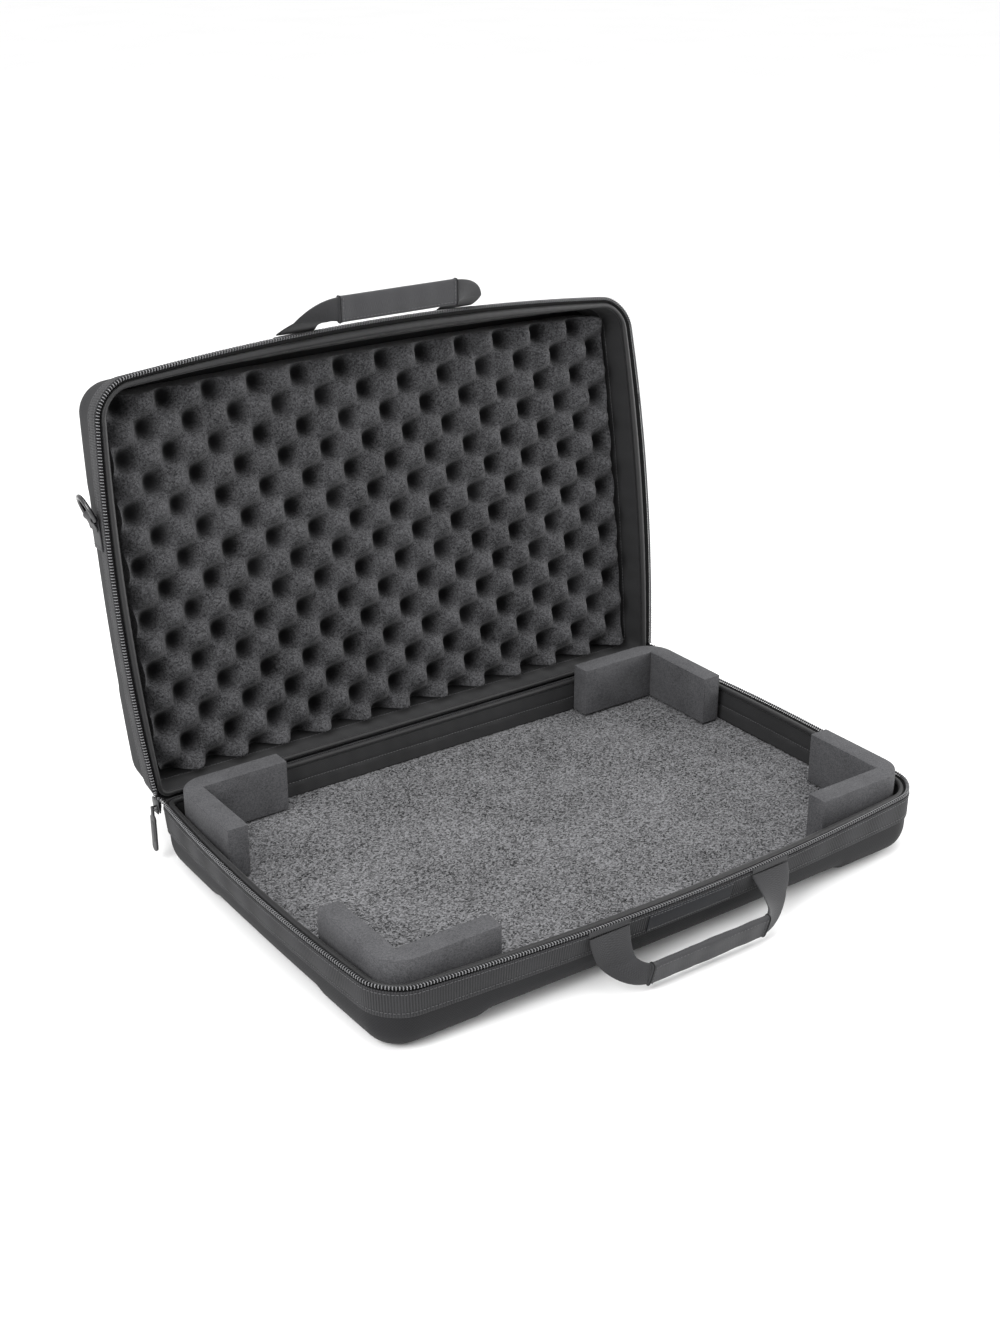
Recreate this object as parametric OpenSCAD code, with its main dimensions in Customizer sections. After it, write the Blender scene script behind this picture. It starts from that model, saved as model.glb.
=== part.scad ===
// Zipped carrying case for miniatures and flat gear, shown open.
// Frame: origin at the centre of the tray floor, +X along the length, +Y to the hinge, +Z up.

/* [Case] */
// Length of the case between the two side zip rows
case_l = 507; // [440:1:620]
// Width of the case from the front zip row to the rear wall
case_w = 334; // [280:1:410]
// Height of the tray's closing plane above the tray floor
rim_h = 32; // [27:0.5:45]
// Angle of the open lid, measured from the closed case
lid_open = 98.5; // [60:0.5:120]
// How far the long front edge bows outward at its middle
front_bow = 15; // [4:0.5:20]
// How far each side edge bows outward at its middle
side_bow = 9.5; // [3:0.5:14]
// Radius of the two front corners at the rim
front_corner_r = 26; // [18:1:40]
// Radius of the two rear corners at the rim
rear_corner_r = 10; // [9:0.5:18]

/* [Shell] */
// Thickness of the moulded foam wall
wall_t = 5.2; // [3.5:0.1:6]
// Thickness of the moulded foam floor
floor_t = 4.5; // [3.5:0.1:6]
// Radius of the edge between the tray's walls and its bottom
tray_edge_r = 20; // [16:0.5:24]
// Radius of the edge between the lid's walls and its back
lid_edge_r = 22; // [16:0.5:26]
// How far the lid's back is drawn in from its rim
lid_draft = 7.4; // [3:0.2:10]
// Length of the raised corner lands along the long edge
land_x = 82; // [60:1:110]
// Length of the raised corner lands along the short edge
land_y = 86; // [60:1:100]
// Height of the corner lands under the bottom
land_h = 3.5; // [2:0.1:5]

/* [Fabric and zip] */
// Height of the ribbed edge band, from the closing plane to its hem
band_h = 25; // [20:0.5:27]
// Thickness of the edge band
band_t = 1.2; // [0.8:0.1:1.6]
// Thickness of the wall lining
lining_t = 1.5; // [0.8:0.1:2]
// Diameter of the padded roll along the rim
roll_d = 5.6; // [4.4:0.1:5.8]
// Width of the zip coil across the rim
coil_w = 3.2; // [2.4:0.1:3.6]
// Height of the zip coil
coil_h = 3; // [2:0.1:3.4]
// Thickness of the zip tape
tape_t = 0.8; // [0.5:0.1:1]
// Thickness of the carpet on the tray floor
carpet_t = 4; // [2:0.5:6]
// Thickness of the foam board under the carpet
board_t = 12.5; // [8:0.5:16]
// Thickness of the convoluted foam in the lid
lid_foam_t = 50; // [36:0.5:62]

/* [Corner blocks] */
// Length of each block's arm along X
block_x = 93; // [60:1:120]
// Length of each block's arm along Y
block_y = 93; // [60:1:120]
// Height of the corner blocks
block_h = 45; // [30:1:56]
// Thickness of a block's arms
block_t = 17.5; // [12:0.5:24]
// Radius of a block's outer corner
block_corner_r = 24; // [16:1:30]
// Thickness of the hook strip under a block
hook_t = 1.2; // [0.8:0.1:2]

/* [Handles] */
// Distance between the middles of a handle's two roots
handle_span = 153; // [130:1:180]
// Width of the handle webbing
webbing_w = 36; // [28:1:42]
// Thickness of the handle webbing
webbing_t = 2.2; // [1.6:0.1:3]
// Length of the sleeve round the grip
sleeve_l = 112; // [80:1:116]
// Height of the sleeve
sleeve_h = 18.5; // [14:0.5:22]
// Thickness of the sleeve
sleeve_t = 6; // [5:0.5:8]
// Reach of a handle from its roots to the sleeve's far edge
handle_reach = 46; // [40:1:60]
// Height of the roots away from the closing plane
root_drop = 10.5; // [8:0.5:14]
// How far the tray's handle hangs out from straight down
tray_handle_hang = 33; // [22:1:60]
// How far the lid's handle stands out from the lid's front wall
lid_handle_hang = 35; // [28:1:60]

/* [D-rings and zip pulls] */
// Width of the D-ring webbing tabs
tab_w = 25; // [20:1:32]
// Length of a webbing tab
tab_l = 26; // [20:1:34]
// Distance from the lid's front zip row to the D-ring's bar
ring_y = 101; // [70:1:140]
// Thickness of the D-ring's wire
ring_wire = 3.6; // [2.4:0.2:4]
// Reach of the D-ring beyond its bar
ring_reach = 20; // [16:1:26]
// Length of a zip pull
pull_l = 38; // [26:1:44]
// Width of a zip pull
pull_w = 8; // [6:0.5:10]
// Thickness of a zip pull
pull_t = 1.8; // [1.2:0.1:2]

/* [Label] */
// Width of the blank label on the front
label_w = 80; // [50:1:90]
// Height of the blank label
label_h = 15; // [10:0.5:15]

/* [Hidden] */

// Clearances
gap = 0.3;             // between pieces of two bodies that pass close by
half_closing_gap = 0.2; // from the closing plane to either zip coil
lid_foam_gap = 1.5;     // round the edge of the lid's foam, and over the blocks when closed

// Half sizes of the zip row, the line that every wall layer is measured from
half_l = case_l / 2;
half_w = case_w / 2;

// Offsets of the wall layers from the zip row, outward positive
shell_out = 1.2;
shell_in = shell_out - wall_t;
lining_in = shell_in - lining_t;
band_out = shell_out + band_t;

// Small sewn and metal parts
leaf_t = 1;
leaf_h = 14;
anchor_t = 1;
anchor_h = 4.5;
label_t = 0.8;
tab_t = 1.6;
slider_t = 3;
slider_l = 13;
slider_w = 12;
bail_wire = 1.6;
bail_reach = 3.6;

// The inside of a rounded bottom edge has a radius smaller than the outside by this much
edge_relief = 8;

// A land is flat for this width, then falls back to the bottom over the next
land_flat = 16;
land_fall = 14;

// Distances from the closing plane, towards the tray's bottom or the lid's back
coil_end = half_closing_gap + coil_h;
band_top = coil_end + 1;
shell_top = 7.6;
zip_end = 12;
leaf_near = band_top + 3;
anchor_off = webbing_t / 2 + 2 * gap;
label_near = band_h - 1 - label_h;
roll_mid = shell_top - roll_d / 2 - gap;
roll_e = -tape_t / 2 - 0.5 - roll_d / 2;
tray_depth = rim_h + carpet_t + board_t + floor_t;
block_rise = max(block_h - rim_h, shell_top);
lid_depth = block_rise + lid_foam_gap + lid_foam_t + floor_t;
lid_lining_end = lid_depth - floor_t - lid_edge_r + edge_relief - 2;
ground = rim_h - tray_depth - land_h;

// The walls lose this share of their bow between the rim and the bottom
tray_bow_loss = 0.85;
lid_bow_loss = 0.5;

// The hinge runs along X, just inside the rear wall and below the closing plane
hinge_y = half_w - 1;
hinge_z = rim_h - 6;

// Points of an outline: along the front, along each side, along the straight rear, round a corner
front_n = 10;
side_n = 6;
rear_n = 2;
corner_n = 6;

function clamp01(v) = min(max(v, 0), 1);
function ease(v) = let (u = clamp01(v)) u * u * (3 - 2 * u);
function mix(a, b, u) = a + (b - a) * u;

// A rounded rectangle at offset e from the zip row; depth share g rounds its rear corners
function plain_outline(e, g) =
    let (
        l = half_l + e,
        w = half_w + e,
        rf = max(front_corner_r + e, 4),
        rr = max(mix(rear_corner_r, front_corner_r, g) + e, 3),
        side = function (a, b, n) [for (i = [0 : n - 1]) a + (b - a) * i / n],
        arc = function (c, r, start) [
            for (i = [0 : corner_n - 1])
                let (t = start + 90 * i / corner_n) c + r * [cos(t), sin(t)]
        ]
    )
    concat(
        side([l, -w + rf], [l, w - rr], side_n), arc([l - rr, w - rr], rr, 0),
        side([l - rr, w], [-l + rr, w], rear_n), arc([-l + rr, w - rr], rr, 90),
        side([-l, w - rr], [-l, -w + rf], side_n), arc([-l + rf, -w + rf], rf, 180),
        side([-l + rf, -w], [l - rf, -w], front_n), arc([l - rf, -w + rf], rf, 270)
    );

// The bow pushes the side and front points outward, most at the middle of each edge
function bowed(p, k) =
    let (
        on_side = clamp01((abs(p.x) - half_l + front_corner_r) / front_corner_r),
        on_front = clamp01((-p.y - half_w + front_corner_r) / front_corner_r),
        along_x = min(abs(p.x) / half_l, 1),
        along_y = min(abs(p.y) / half_w, 1)
    )
    [
        p.x + sign(p.x) * k * side_bow * (1 - along_y * along_y) * on_side,
        p.y - k * front_bow * (1 - along_x * along_x) * on_front
    ];

function outline(e, g, bow_loss) = [for (p = plain_outline(e, g)) bowed(p, 1 - bow_loss * g)];

// One ring of a wall at distance d from the closing plane, in a shell of the given depth.
// Heights are negative, so that the rings hang under the closing plane.
function ring(e, d, depth, bow_loss) =
    [for (p = outline(e, clamp01(d / depth), bow_loss)) [p.x, p.y, -d]];

// A ring in the bottom, lowered at the four corners by the lands
function land_ring(e, d, depth, bow_loss) = [
    for (p = outline(e, clamp01(d / depth), bow_loss))
        let (
            in_x = ease((abs(p.x) - half_l + land_x) / 12 + 0.5),
            in_y = ease((abs(p.y) - half_w + land_y) / 12 + 0.5)
        )
        [p.x, p.y, -d - land_h * in_x * in_y * ease((d - depth / 2) / (depth / 2))]
];

// Joins rings of points, from one end to the other, into a solid; a loop has no end caps.
// Each quad is cut from its upper ring's first point, so that neighbouring pieces match.
module loft(rings, loop = false) {
    n = len(rings[0]);
    count = len(rings);
    last = loop ? count - 1 : count - 2;
    sides = [
        for (i = [0 : last], j = [0 : n - 1])
            let (
                next = (i + 1) % count,
                a = i * n,
                b = next * n,
                k = (j + 1) % n,
                downward = rings[i][j].z >= rings[next][j].z
            )
            each downward
                ? [[a + j, a + k, b + k], [a + j, b + k, b + j]]
                : [[a + j, a + k, b + j], [a + k, b + k, b + j]]
    ];
    caps = loop ? [] : [[for (j = [n - 1 : -1 : 0]) j], [for (j = [0 : n - 1]) (count - 1) * n + j]];
    polyhedron(points = [for (r = rings) each r], faces = concat(sides, caps));
}

// Rings of the rounded edge between wall and bottom, from the wall side inwards
function edge_steps(n) = [for (i = [0 : n]) 90 * i / n];

// A moulded tray, opening upward at the closing plane
module moulded_shell(depth, edge_r, draft, bow_loss, lining_end) {
    inner_r = edge_r - edge_relief;
    inner_depth = depth - floor_t;
    in_e = function (d) shell_in - draft * d / depth;
    out_e = function (d) shell_out - draft * d / depth;
    loft(concat(
        [for (t = [90, 60, 30, 0])
            let (d = inner_depth - inner_r * (1 - sin(t)))
            ring(in_e(d) - inner_r * (1 - cos(t)), d, depth, bow_loss)],
        [ring(in_e(lining_end), lining_end, depth, bow_loss)],
        [ring(in_e(shell_top), shell_top, depth, bow_loss)],
        [ring(out_e(shell_top), shell_top, depth, bow_loss)],
        [ring(out_e(band_h), band_h, depth, bow_loss)],
        [for (t = edge_steps(6))
            let (d = depth - edge_r * (1 - sin(t)))
            land_ring(out_e(d) - edge_r * (1 - cos(t)), d, depth, bow_loss)],
        [land_ring(out_e(depth) - edge_r - land_flat, depth, depth, bow_loss)],
        [ring(out_e(depth) - edge_r - land_flat - land_fall, depth, depth, bow_loss)]
    ));
}

// The ribbed fabric band on the outside of a wall
module edge_band(depth, draft, bow_loss) {
    e = function (d, at) at - draft * d / depth;
    loft([
        ring(e(band_top, shell_out), band_top, depth, bow_loss),
        ring(e(band_top, band_out), band_top, depth, bow_loss),
        ring(e(shell_top, band_out), shell_top, depth, bow_loss),
        ring(e(band_h, band_out), band_h, depth, bow_loss),
        ring(e(band_h, shell_out), band_h, depth, bow_loss),
        ring(e(shell_top, shell_out), shell_top, depth, bow_loss)
    ], loop = true);
}

// The lining on the inside of a wall
module wall_lining(depth, draft, bow_loss, lining_end) {
    e = function (d, at) at - draft * d / depth;
    loft([
        ring(e(shell_top, lining_in), shell_top, depth, bow_loss),
        ring(e(shell_top, shell_in), shell_top, depth, bow_loss),
        ring(e(lining_end, shell_in), lining_end, depth, bow_loss),
        ring(e(lining_end, lining_in), lining_end, depth, bow_loss)
    ], loop = true);
}

// The padded roll along the rim, an eight-sided bead
module rim_roll(depth, bow_loss) {
    r = roll_d / 2;
    loft([
        for (t = [22.5 : 45 : 359])
            ring(roll_e + r * cos(t), roll_mid + r * sin(t), depth, bow_loss)
    ], loop = true);
}

// Everything behind this line belongs to the hinge and has no zip
module zip_part() {
    difference() {
        children();
        translate([-case_l, half_w - zip_end, -60])
            cube([2 * case_l, case_w, 120]);
    }
}

// The zip tape stands on the wall's top edge and carries the coil
module zip_tape(depth, draft, bow_loss) {
    e = function (d, at) at - draft * d / depth;
    zip_part()
        loft([
            ring(e(coil_end, -tape_t / 2), coil_end, depth, bow_loss),
            ring(e(coil_end, tape_t / 2), coil_end, depth, bow_loss),
            ring(e(shell_top, tape_t / 2), shell_top, depth, bow_loss),
            ring(e(shell_top, -tape_t / 2), shell_top, depth, bow_loss)
        ], loop = true);
}

// The coil is a plain bar here: its width runs outward from the tape's inner face
module zip_coil() {
    zip_part()
        translate([0, 0, -coil_end])
            linear_extrude(coil_h)
                difference() {
                    polygon(outline(coil_w - tape_t, 0, 0));
                    polygon(outline(-tape_t, 0, 0));
                }
}

// Places a piece of the tray, drawn under the closing plane
module in_tray() translate([0, 0, rim_h]) children();

// Places a piece of the lid, drawn like a tray under the closing plane, on the open lid
module in_lid() closed_to_open() in_closed_lid() children();

module in_closed_lid() translate([0, 0, rim_h]) mirror([0, 0, 1]) children();

module closed_to_open()
    translate([0, hinge_y, hinge_z])
        rotate([-lid_open, 0, 0])
            translate([0, -hinge_y, -hinge_z])
                children();

module tray_shell()
    color("#3d3d40") in_tray() moulded_shell(tray_depth, tray_edge_r, 0, tray_bow_loss, rim_h);

module lid_shell()
    color("#3d3d40")
        in_lid()
            moulded_shell(lid_depth, lid_edge_r, lid_draft, lid_bow_loss, lid_lining_end);

module tray_edge_band()
    color("#4a4a4d") in_tray() edge_band(tray_depth, 0, tray_bow_loss);

module lid_edge_band()
    color("#4a4a4d") in_lid() edge_band(lid_depth, lid_draft, lid_bow_loss);

module tray_zip_tape() color("#161617") in_tray() zip_tape(tray_depth, 0, tray_bow_loss);

module lid_zip_tape()
    color("#161617") in_lid() zip_tape(lid_depth, lid_draft, lid_bow_loss);

module tray_zip_coil() color("#8c8c8f") in_tray() zip_coil();

module lid_zip_coil() color("#8c8c8f") in_lid() zip_coil();

module tray_rim_roll() color("#333335") in_tray() rim_roll(tray_depth, tray_bow_loss);

module lid_rim_roll() color("#333335") in_lid() rim_roll(lid_depth, lid_bow_loss);

module tray_wall_lining()
    color("#202022") in_tray() wall_lining(tray_depth, 0, tray_bow_loss, rim_h);

module lid_wall_lining()
    color("#202022") in_lid() wall_lining(lid_depth, lid_draft, lid_bow_loss, lid_lining_end);

// The foam board is square-edged, so it stops where the rounded bottom edge begins
module floor_board()
    color("#2b2b2d")
        translate([0, 0, -carpet_t - board_t])
            linear_extrude(board_t)
                polygon(outline(shell_in - tray_edge_r + edge_relief - gap, 1, tray_bow_loss));

module floor_carpet()
    color("#7a7a7c")
        translate([0, 0, -carpet_t])
            linear_extrude(carpet_t)
                polygon(outline(shell_in - gap, (rim_h + carpet_t) / tray_depth, tray_bow_loss));

// The foam's face here is the plane through its crests
module lid_foam() {
    back = lid_depth - floor_t;
    face = back - lid_foam_t;
    e = function (d) lining_in - lid_foam_gap - lid_draft * d / lid_depth;
    color("#3c3c3e")
        in_lid()
            loft([
                ring(e(face), face, lid_depth, lid_bow_loss),
                ring(e(lid_lining_end), lid_lining_end, lid_depth, lid_bow_loss),
                ring(e(back) - lid_edge_r + edge_relief, back, lid_depth, lid_bow_loss)
            ]);
}

// Outer half spans of the blocks, clear of the roll that hangs over the wall
block_half_x = half_l + roll_e - roll_d / 2 - 2 * gap;
block_half_y = half_w + roll_e - roll_d / 2 - 2 * gap;

// One L-shaped block in the corner at +X, +Y, drawn in plan and drawn in by the inset
module block_plan(inset = 0) {
    inner_x = block_x - block_t + inset + 1;
    inner_y = block_y - block_t + inset + 1;
    r = block_corner_r;
    translate([block_half_x, block_half_y])
        difference() {
            translate([-block_x + inset, -block_y + inset])
                square([block_x - 2 * inset, block_y - 2 * inset]);
            translate([-block_x - 1, -block_y - 1])
                square([inner_x, inner_y]);
            difference() {
                translate([-r, -r]) square(r + 1);
                translate([-r, -r]) circle(r - inset, $fn = 64);
            }
        }
}

module in_corner(name)
    mirror([name == "front_left" || name == "rear_left" ? 1 : 0, 0, 0])
        mirror([0, name == "front_left" || name == "front_right" ? 1 : 0, 0])
            children();

module corner_block(name)
    color("#6b6b6d")
        in_corner(name)
            translate([0, 0, hook_t])
                linear_extrude(block_h - hook_t)
                    block_plan();

// The strip is a little smaller than the block, so that it doesn't show
module hook_strip(name)
    color("#101010")
        in_corner(name)
            linear_extrude(hook_t)
                block_plan(inset = 2);

// The share of its bow that a shell keeps at distance d from the closing plane
function tray_share(d) = 1 - tray_bow_loss * d / tray_depth;
function lid_share(d) = 1 - lid_bow_loss * d / lid_depth;

// How far the tray's and the lid's band lean at the front, from the loss of bow and the draft
tray_lean = atan(front_bow * tray_bow_loss / tray_depth);
lid_lean = atan((front_bow * lid_bow_loss + lid_draft) / lid_depth);

// The front of the edge band at x, where the shell has lost a share of its bow
function front_y(x, share) = -half_w - band_out - front_bow * share * (1 - pow(x / half_l, 2));

// A strip of cloth on the leaning front of the band, with its middle at x. Its near edge is
// at distance d from the closing plane, where the shell has this share of its bow.
module front_strip(x, width, height, thickness, d, lean, share) {
    n = 6;
    xs = [for (i = [0 : n]) x + width * (i / n - 0.5)];
    bow = function (v) front_y(v, share) - front_y(0, share);
    translate([0, front_y(0, 1) + tan(lean) * d - gap, -d])
        rotate([lean, 0, 0])
            translate([0, 0, -height])
                linear_extrude(height)
                    polygon(concat(
                        [for (v = xs) [v, bow(v)]],
                        [for (i = [n : -1 : 0]) [xs[i], bow(xs[i]) - thickness]]
                    ));
}

// Sewn-down ends of a handle's webbing, beside its two roots
module handle_anchors(d, lean, share)
    for (side = [-1, 1])
        front_strip(side * handle_span / 2, webbing_w, anchor_h, anchor_t, d, lean, share);

module front_handle_anchors()
    color("#3a3a3c")
        in_tray()
            handle_anchors(root_drop - anchor_off - anchor_h, tray_lean, tray_share(root_drop));

module lid_handle_anchors()
    color("#3a3a3c")
        in_lid()
            handle_anchors(root_drop + anchor_off, lid_lean, lid_share(root_drop));

// A blank sewn label on the band, between the handle's roots
module front_label()
    color("#19191b")
        in_tray()
            front_strip(0, label_w, label_h, label_t, label_near, tray_lean, tray_share(label_near));

// Where a handle hangs: clear of the band at the inner edge of its roots
root_y = front_y((handle_span - webbing_w) / 2, tray_share(root_drop)) - webbing_t / 2 - 2 * gap;
tray_root_z = rim_h - root_drop;
lid_root_z = rim_h + root_drop;

// One leg of a handle in the handle's own plane: X along the case, Y from root to grip
module handle_leg() {
    in_x = handle_span / 2 - webbing_w / 2;
    out_x = handle_span / 2 + webbing_w / 2;
    grip_x = sleeve_l / 2;
    near = handle_reach - sleeve_h;
    polygon([
        [in_x, 0], [out_x, 0], [out_x - 1, near * 0.45], [out_x - 8, handle_reach * 0.65],
        [out_x - 20, handle_reach * 0.9], [grip_x + 4, handle_reach - 0.5],
        [grip_x, handle_reach - 1.5], [grip_x, near + 1.5], [in_x + 1, near * 0.5]
    ]);
}

// The webbing is folded to this height and thickness inside the sleeve
core_h = sleeve_h - 3;
core_t = 2 * webbing_t * 0.8;

module webbing() {
    for (side = [0, 1])
        mirror([side, 0, 0])
            linear_extrude(webbing_t, center = true)
                handle_leg();
    translate([0, handle_reach - sleeve_h / 2, 0])
        cube([sleeve_l, core_h, core_t], center = true);
}

module sleeve()
    translate([0, handle_reach - sleeve_h / 2, 0])
        difference() {
            cube([sleeve_l - 2 * gap, sleeve_h, sleeve_t], center = true);
            cube([sleeve_l + 2, core_h, core_t], center = true);
        }

// Hangs a handle from roots at height z, turned out from straight down by the given angle
module hang_handle(z, angle)
    translate([0, root_y, z])
        rotate([-90 - angle, 0, 0])
            children();

module on_tray_handle() hang_handle(tray_root_z, tray_handle_hang) children();

module on_lid_handle() closed_to_open() hang_handle(lid_root_z, lid_handle_hang) children();

module front_handle_webbing() color("#4c4c4e") on_tray_handle() webbing();

module front_handle_sleeve() color("#505052") on_tray_handle() sleeve();

module lid_handle_webbing() color("#4c4c4e") on_lid_handle() webbing();

module lid_handle_sleeve() color("#505052") on_lid_handle() sleeve();

// Each hinge leaf is sewn over the band along the rear wall and ends short of the fold
module hinge_leaf(depth, draft) {
    half = half_l - front_corner_r - 4;
    translate([0, half_w + band_out - draft * leaf_near / depth + gap / 2, -leaf_near])
        rotate([-atan(draft / depth), 0, 0])
            translate([-half, 0, -leaf_h])
                cube([2 * half, leaf_t, leaf_h]);
}

module hinge_leaf_tray() color("#262628") in_tray() hinge_leaf(tray_depth, 0);

module hinge_leaf_lid() color("#262628") in_lid() hinge_leaf(lid_depth, lid_draft);

// A zip slider sits outside the rear corner, level with the hinge line
slider_x = half_l + band_out + gap;
slider_y = hinge_y + 1.5;
pull_x = slider_x + slider_t + bail_reach - bail_wire / 2;
pull_z = hinge_z - 2;

// The slider's outer plate and the bail that holds its pull
module zip_slider(side) {
    tail_w = slider_w * 0.6;
    color("#9a9a9c")
        mirror([side == "left" ? 1 : 0, 0, 0])
            translate([slider_x, slider_y, 0]) {
                translate([0, 0, hinge_z - slider_l / 2])
                    rotate([0, -90, 0])
                        mirror([0, 0, 1])
                            linear_extrude(slider_t)
                                polygon([
                                    [0, -tail_w / 2], [0, tail_w / 2],
                                    [slider_l * 0.55, slider_w / 2], [slider_l, slider_w / 2],
                                    [slider_l, -slider_w / 2], [slider_l * 0.55, -slider_w / 2]
                                ]);
                translate([slider_t, 0, pull_z]) {
                    for (end = [-1, 1])
                        translate([bail_reach / 2, end * (tail_w - bail_wire) / 2, 0])
                            cube([bail_reach, bail_wire, bail_wire], center = true);
                    translate([bail_reach - bail_wire / 2, 0, 0])
                        rotate([90, 0, 0])
                            cylinder(h = tail_w - 0.5, d = bail_wire, center = true, $fn = 32);
                }
            }
}

// The pull hangs from the slider's bail by an eye
module zip_pull(side) {
    eye_w = slider_w * 0.6 - 2 * bail_wire - 2 * gap;
    eye_d = bail_wire + 2.4;
    neck = 6;
    color("#5c5c5f")
        mirror([side == "left" ? 1 : 0, 0, 0])
            translate([pull_x, slider_y, pull_z])
                difference() {
                    union() {
                        rotate([90, 0, 0])
                            cylinder(h = eye_w, d = eye_d, center = true, $fn = 32);
                        translate([-pull_t / 2, -eye_w / 2, -neck])
                            cube([pull_t, eye_w, neck]);
                        translate([-pull_t / 2, -pull_w / 2, -pull_l + pull_w / 2])
                            cube([pull_t, pull_w, pull_l - neck - pull_w / 2]);
                        translate([0, 0, -pull_l + pull_w / 2])
                            rotate([0, 90, 0])
                                cylinder(h = pull_t, d = pull_w, center = true, $fn = 48);
                    }
                    rotate([90, 0, 0])
                        cylinder(h = 2 * pull_w, d = bail_wire + 0.2, center = true, $fn = 32);
                }
}

// The lid's side wall at the D-ring's bar, at distance d from the closing plane
bar_y = -half_w + ring_y;
bar_d = band_h + 2;

function side_wall_x(d) =
    half_l + band_out - lid_draft * d / lid_depth
    + side_bow * (1 - pow(bar_y / half_w, 2)) * (1 - lid_bow_loss * d / lid_depth);

bar_lean = atan((side_wall_x(bar_d - tab_w / 2) - side_wall_x(bar_d + tab_w / 2)) / tab_w);
loop_r = ring_wire / 2 + tab_t;
bar_x = side_wall_x(bar_d) + loop_r + 1;

// Places a piece at the bar of a D-ring: local Z along the bar, X out from the wall
module at_ring(side)
    in_lid()
        mirror([side == "left" ? 1 : 0, 0, 0])
            translate([bar_x, bar_y, -bar_d])
                rotate([0, bar_lean, 0])
                    children();

// The tab is sewn down on the lid's side and loops round the D-ring's bar
module d_ring_tab(side)
    color("#3f3f41")
        at_ring(side)
            linear_extrude(tab_w, center = true)
                difference() {
                    union() {
                        circle(loop_r, $fn = 48);
                        translate([-loop_r, 0]) square([tab_t, tab_l]);
                    }
                    circle(ring_wire / 2 + 0.1, $fn = 48);
                }

// A D-ring stands out from the wall by this angle when the lid is open
ring_rest = 20;

module d_ring(side) {
    half = tab_w / 2 + ring_wire / 2 + 2 * gap;
    leg = ring_reach - half - ring_wire / 2;
    color("#1d1d1f")
        at_ring(side)
            rotate([0, 0, ring_rest])
                union() {
                    cylinder(h = 2 * half, d = ring_wire, center = true, $fn = 40);
                    for (end = [-1, 1])
                        translate([0, 0, end * half]) {
                            sphere(d = ring_wire, $fn = 40);
                            rotate([90, 0, 0]) cylinder(h = leg, d = ring_wire, $fn = 40);
                        }
                    translate([0, -leg, 0])
                        rotate([0, 90, 0])
                            rotate([0, 0, 180])
                                rotate_extrude(angle = 180, $fn = 96)
                                    translate([half, 0]) circle(d = ring_wire, $fn = 40);
                }
}

tray_shell();
tray_edge_band();
tray_zip_tape();
tray_zip_coil();
tray_rim_roll();
tray_wall_lining();
floor_board();
floor_carpet();
front_label();
front_handle_anchors();
hinge_leaf_tray();
zip_slider("left");  // zip_slider_left
zip_slider("right");  // zip_slider_right
front_handle_webbing();
front_handle_sleeve();
lid_shell();
lid_edge_band();
lid_zip_tape();
lid_zip_coil();
lid_rim_roll();
lid_wall_lining();
lid_foam();
lid_handle_anchors();
hinge_leaf_lid();
d_ring_tab("left");  // d_ring_tab_left
d_ring_tab("right");  // d_ring_tab_right
lid_handle_webbing();
lid_handle_sleeve();
d_ring("left");  // d_ring_left
d_ring("right");  // d_ring_right
zip_pull("left");  // zip_pull_left
zip_pull("right");  // zip_pull_right
corner_block("front_left");  // corner_block_front_left
corner_block("front_right");  // corner_block_front_right
corner_block("rear_left");  // corner_block_rear_left
corner_block("rear_right");  // corner_block_rear_right
hook_strip("front_left");  // hook_strip_front_left
hook_strip("front_right");  // hook_strip_front_right
hook_strip("rear_left");  // hook_strip_rear_left
hook_strip("rear_right");  // hook_strip_rear_right
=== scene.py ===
"""Zipped carry case, shown open: moulded tray and lid, foam blocks, handles, rings and zip.

Every length below is in millimetres until a mesh is made; meshes are in metres, in the CAD frame:
origin at the centre of the tray's inside floor, +X along the case, +Y to the hinge, +Z up.
"""
from __future__ import annotations

import logging
import math
from dataclasses import dataclass, field
from enum import Enum
from typing import Callable, Sequence

import bmesh
import bpy
import numpy as np
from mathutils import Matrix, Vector

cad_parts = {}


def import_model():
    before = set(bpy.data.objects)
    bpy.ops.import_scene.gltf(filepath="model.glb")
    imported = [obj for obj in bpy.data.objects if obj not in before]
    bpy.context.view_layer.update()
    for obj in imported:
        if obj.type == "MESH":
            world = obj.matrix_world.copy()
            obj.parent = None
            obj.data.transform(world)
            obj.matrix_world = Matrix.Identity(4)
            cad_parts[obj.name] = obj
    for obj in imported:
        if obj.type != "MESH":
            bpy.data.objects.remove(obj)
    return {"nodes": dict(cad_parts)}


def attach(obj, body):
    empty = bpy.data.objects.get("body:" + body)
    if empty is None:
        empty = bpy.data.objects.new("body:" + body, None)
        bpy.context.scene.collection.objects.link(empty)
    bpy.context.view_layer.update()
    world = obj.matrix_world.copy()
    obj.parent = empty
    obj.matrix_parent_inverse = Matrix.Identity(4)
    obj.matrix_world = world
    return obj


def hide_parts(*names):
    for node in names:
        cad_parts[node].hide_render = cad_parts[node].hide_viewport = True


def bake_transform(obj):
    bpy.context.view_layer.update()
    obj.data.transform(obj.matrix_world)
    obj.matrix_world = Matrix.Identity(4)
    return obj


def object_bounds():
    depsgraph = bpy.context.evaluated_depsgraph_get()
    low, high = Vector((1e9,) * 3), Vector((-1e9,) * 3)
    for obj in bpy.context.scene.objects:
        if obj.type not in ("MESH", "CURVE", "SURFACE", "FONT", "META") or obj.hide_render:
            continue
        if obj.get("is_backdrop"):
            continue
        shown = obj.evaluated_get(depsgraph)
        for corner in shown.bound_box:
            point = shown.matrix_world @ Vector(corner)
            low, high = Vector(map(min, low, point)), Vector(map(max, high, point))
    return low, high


MM = 0.001
TAU = 2 * math.pi
LOG = logging.getLogger("carry_case")

Points = np.ndarray


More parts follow.
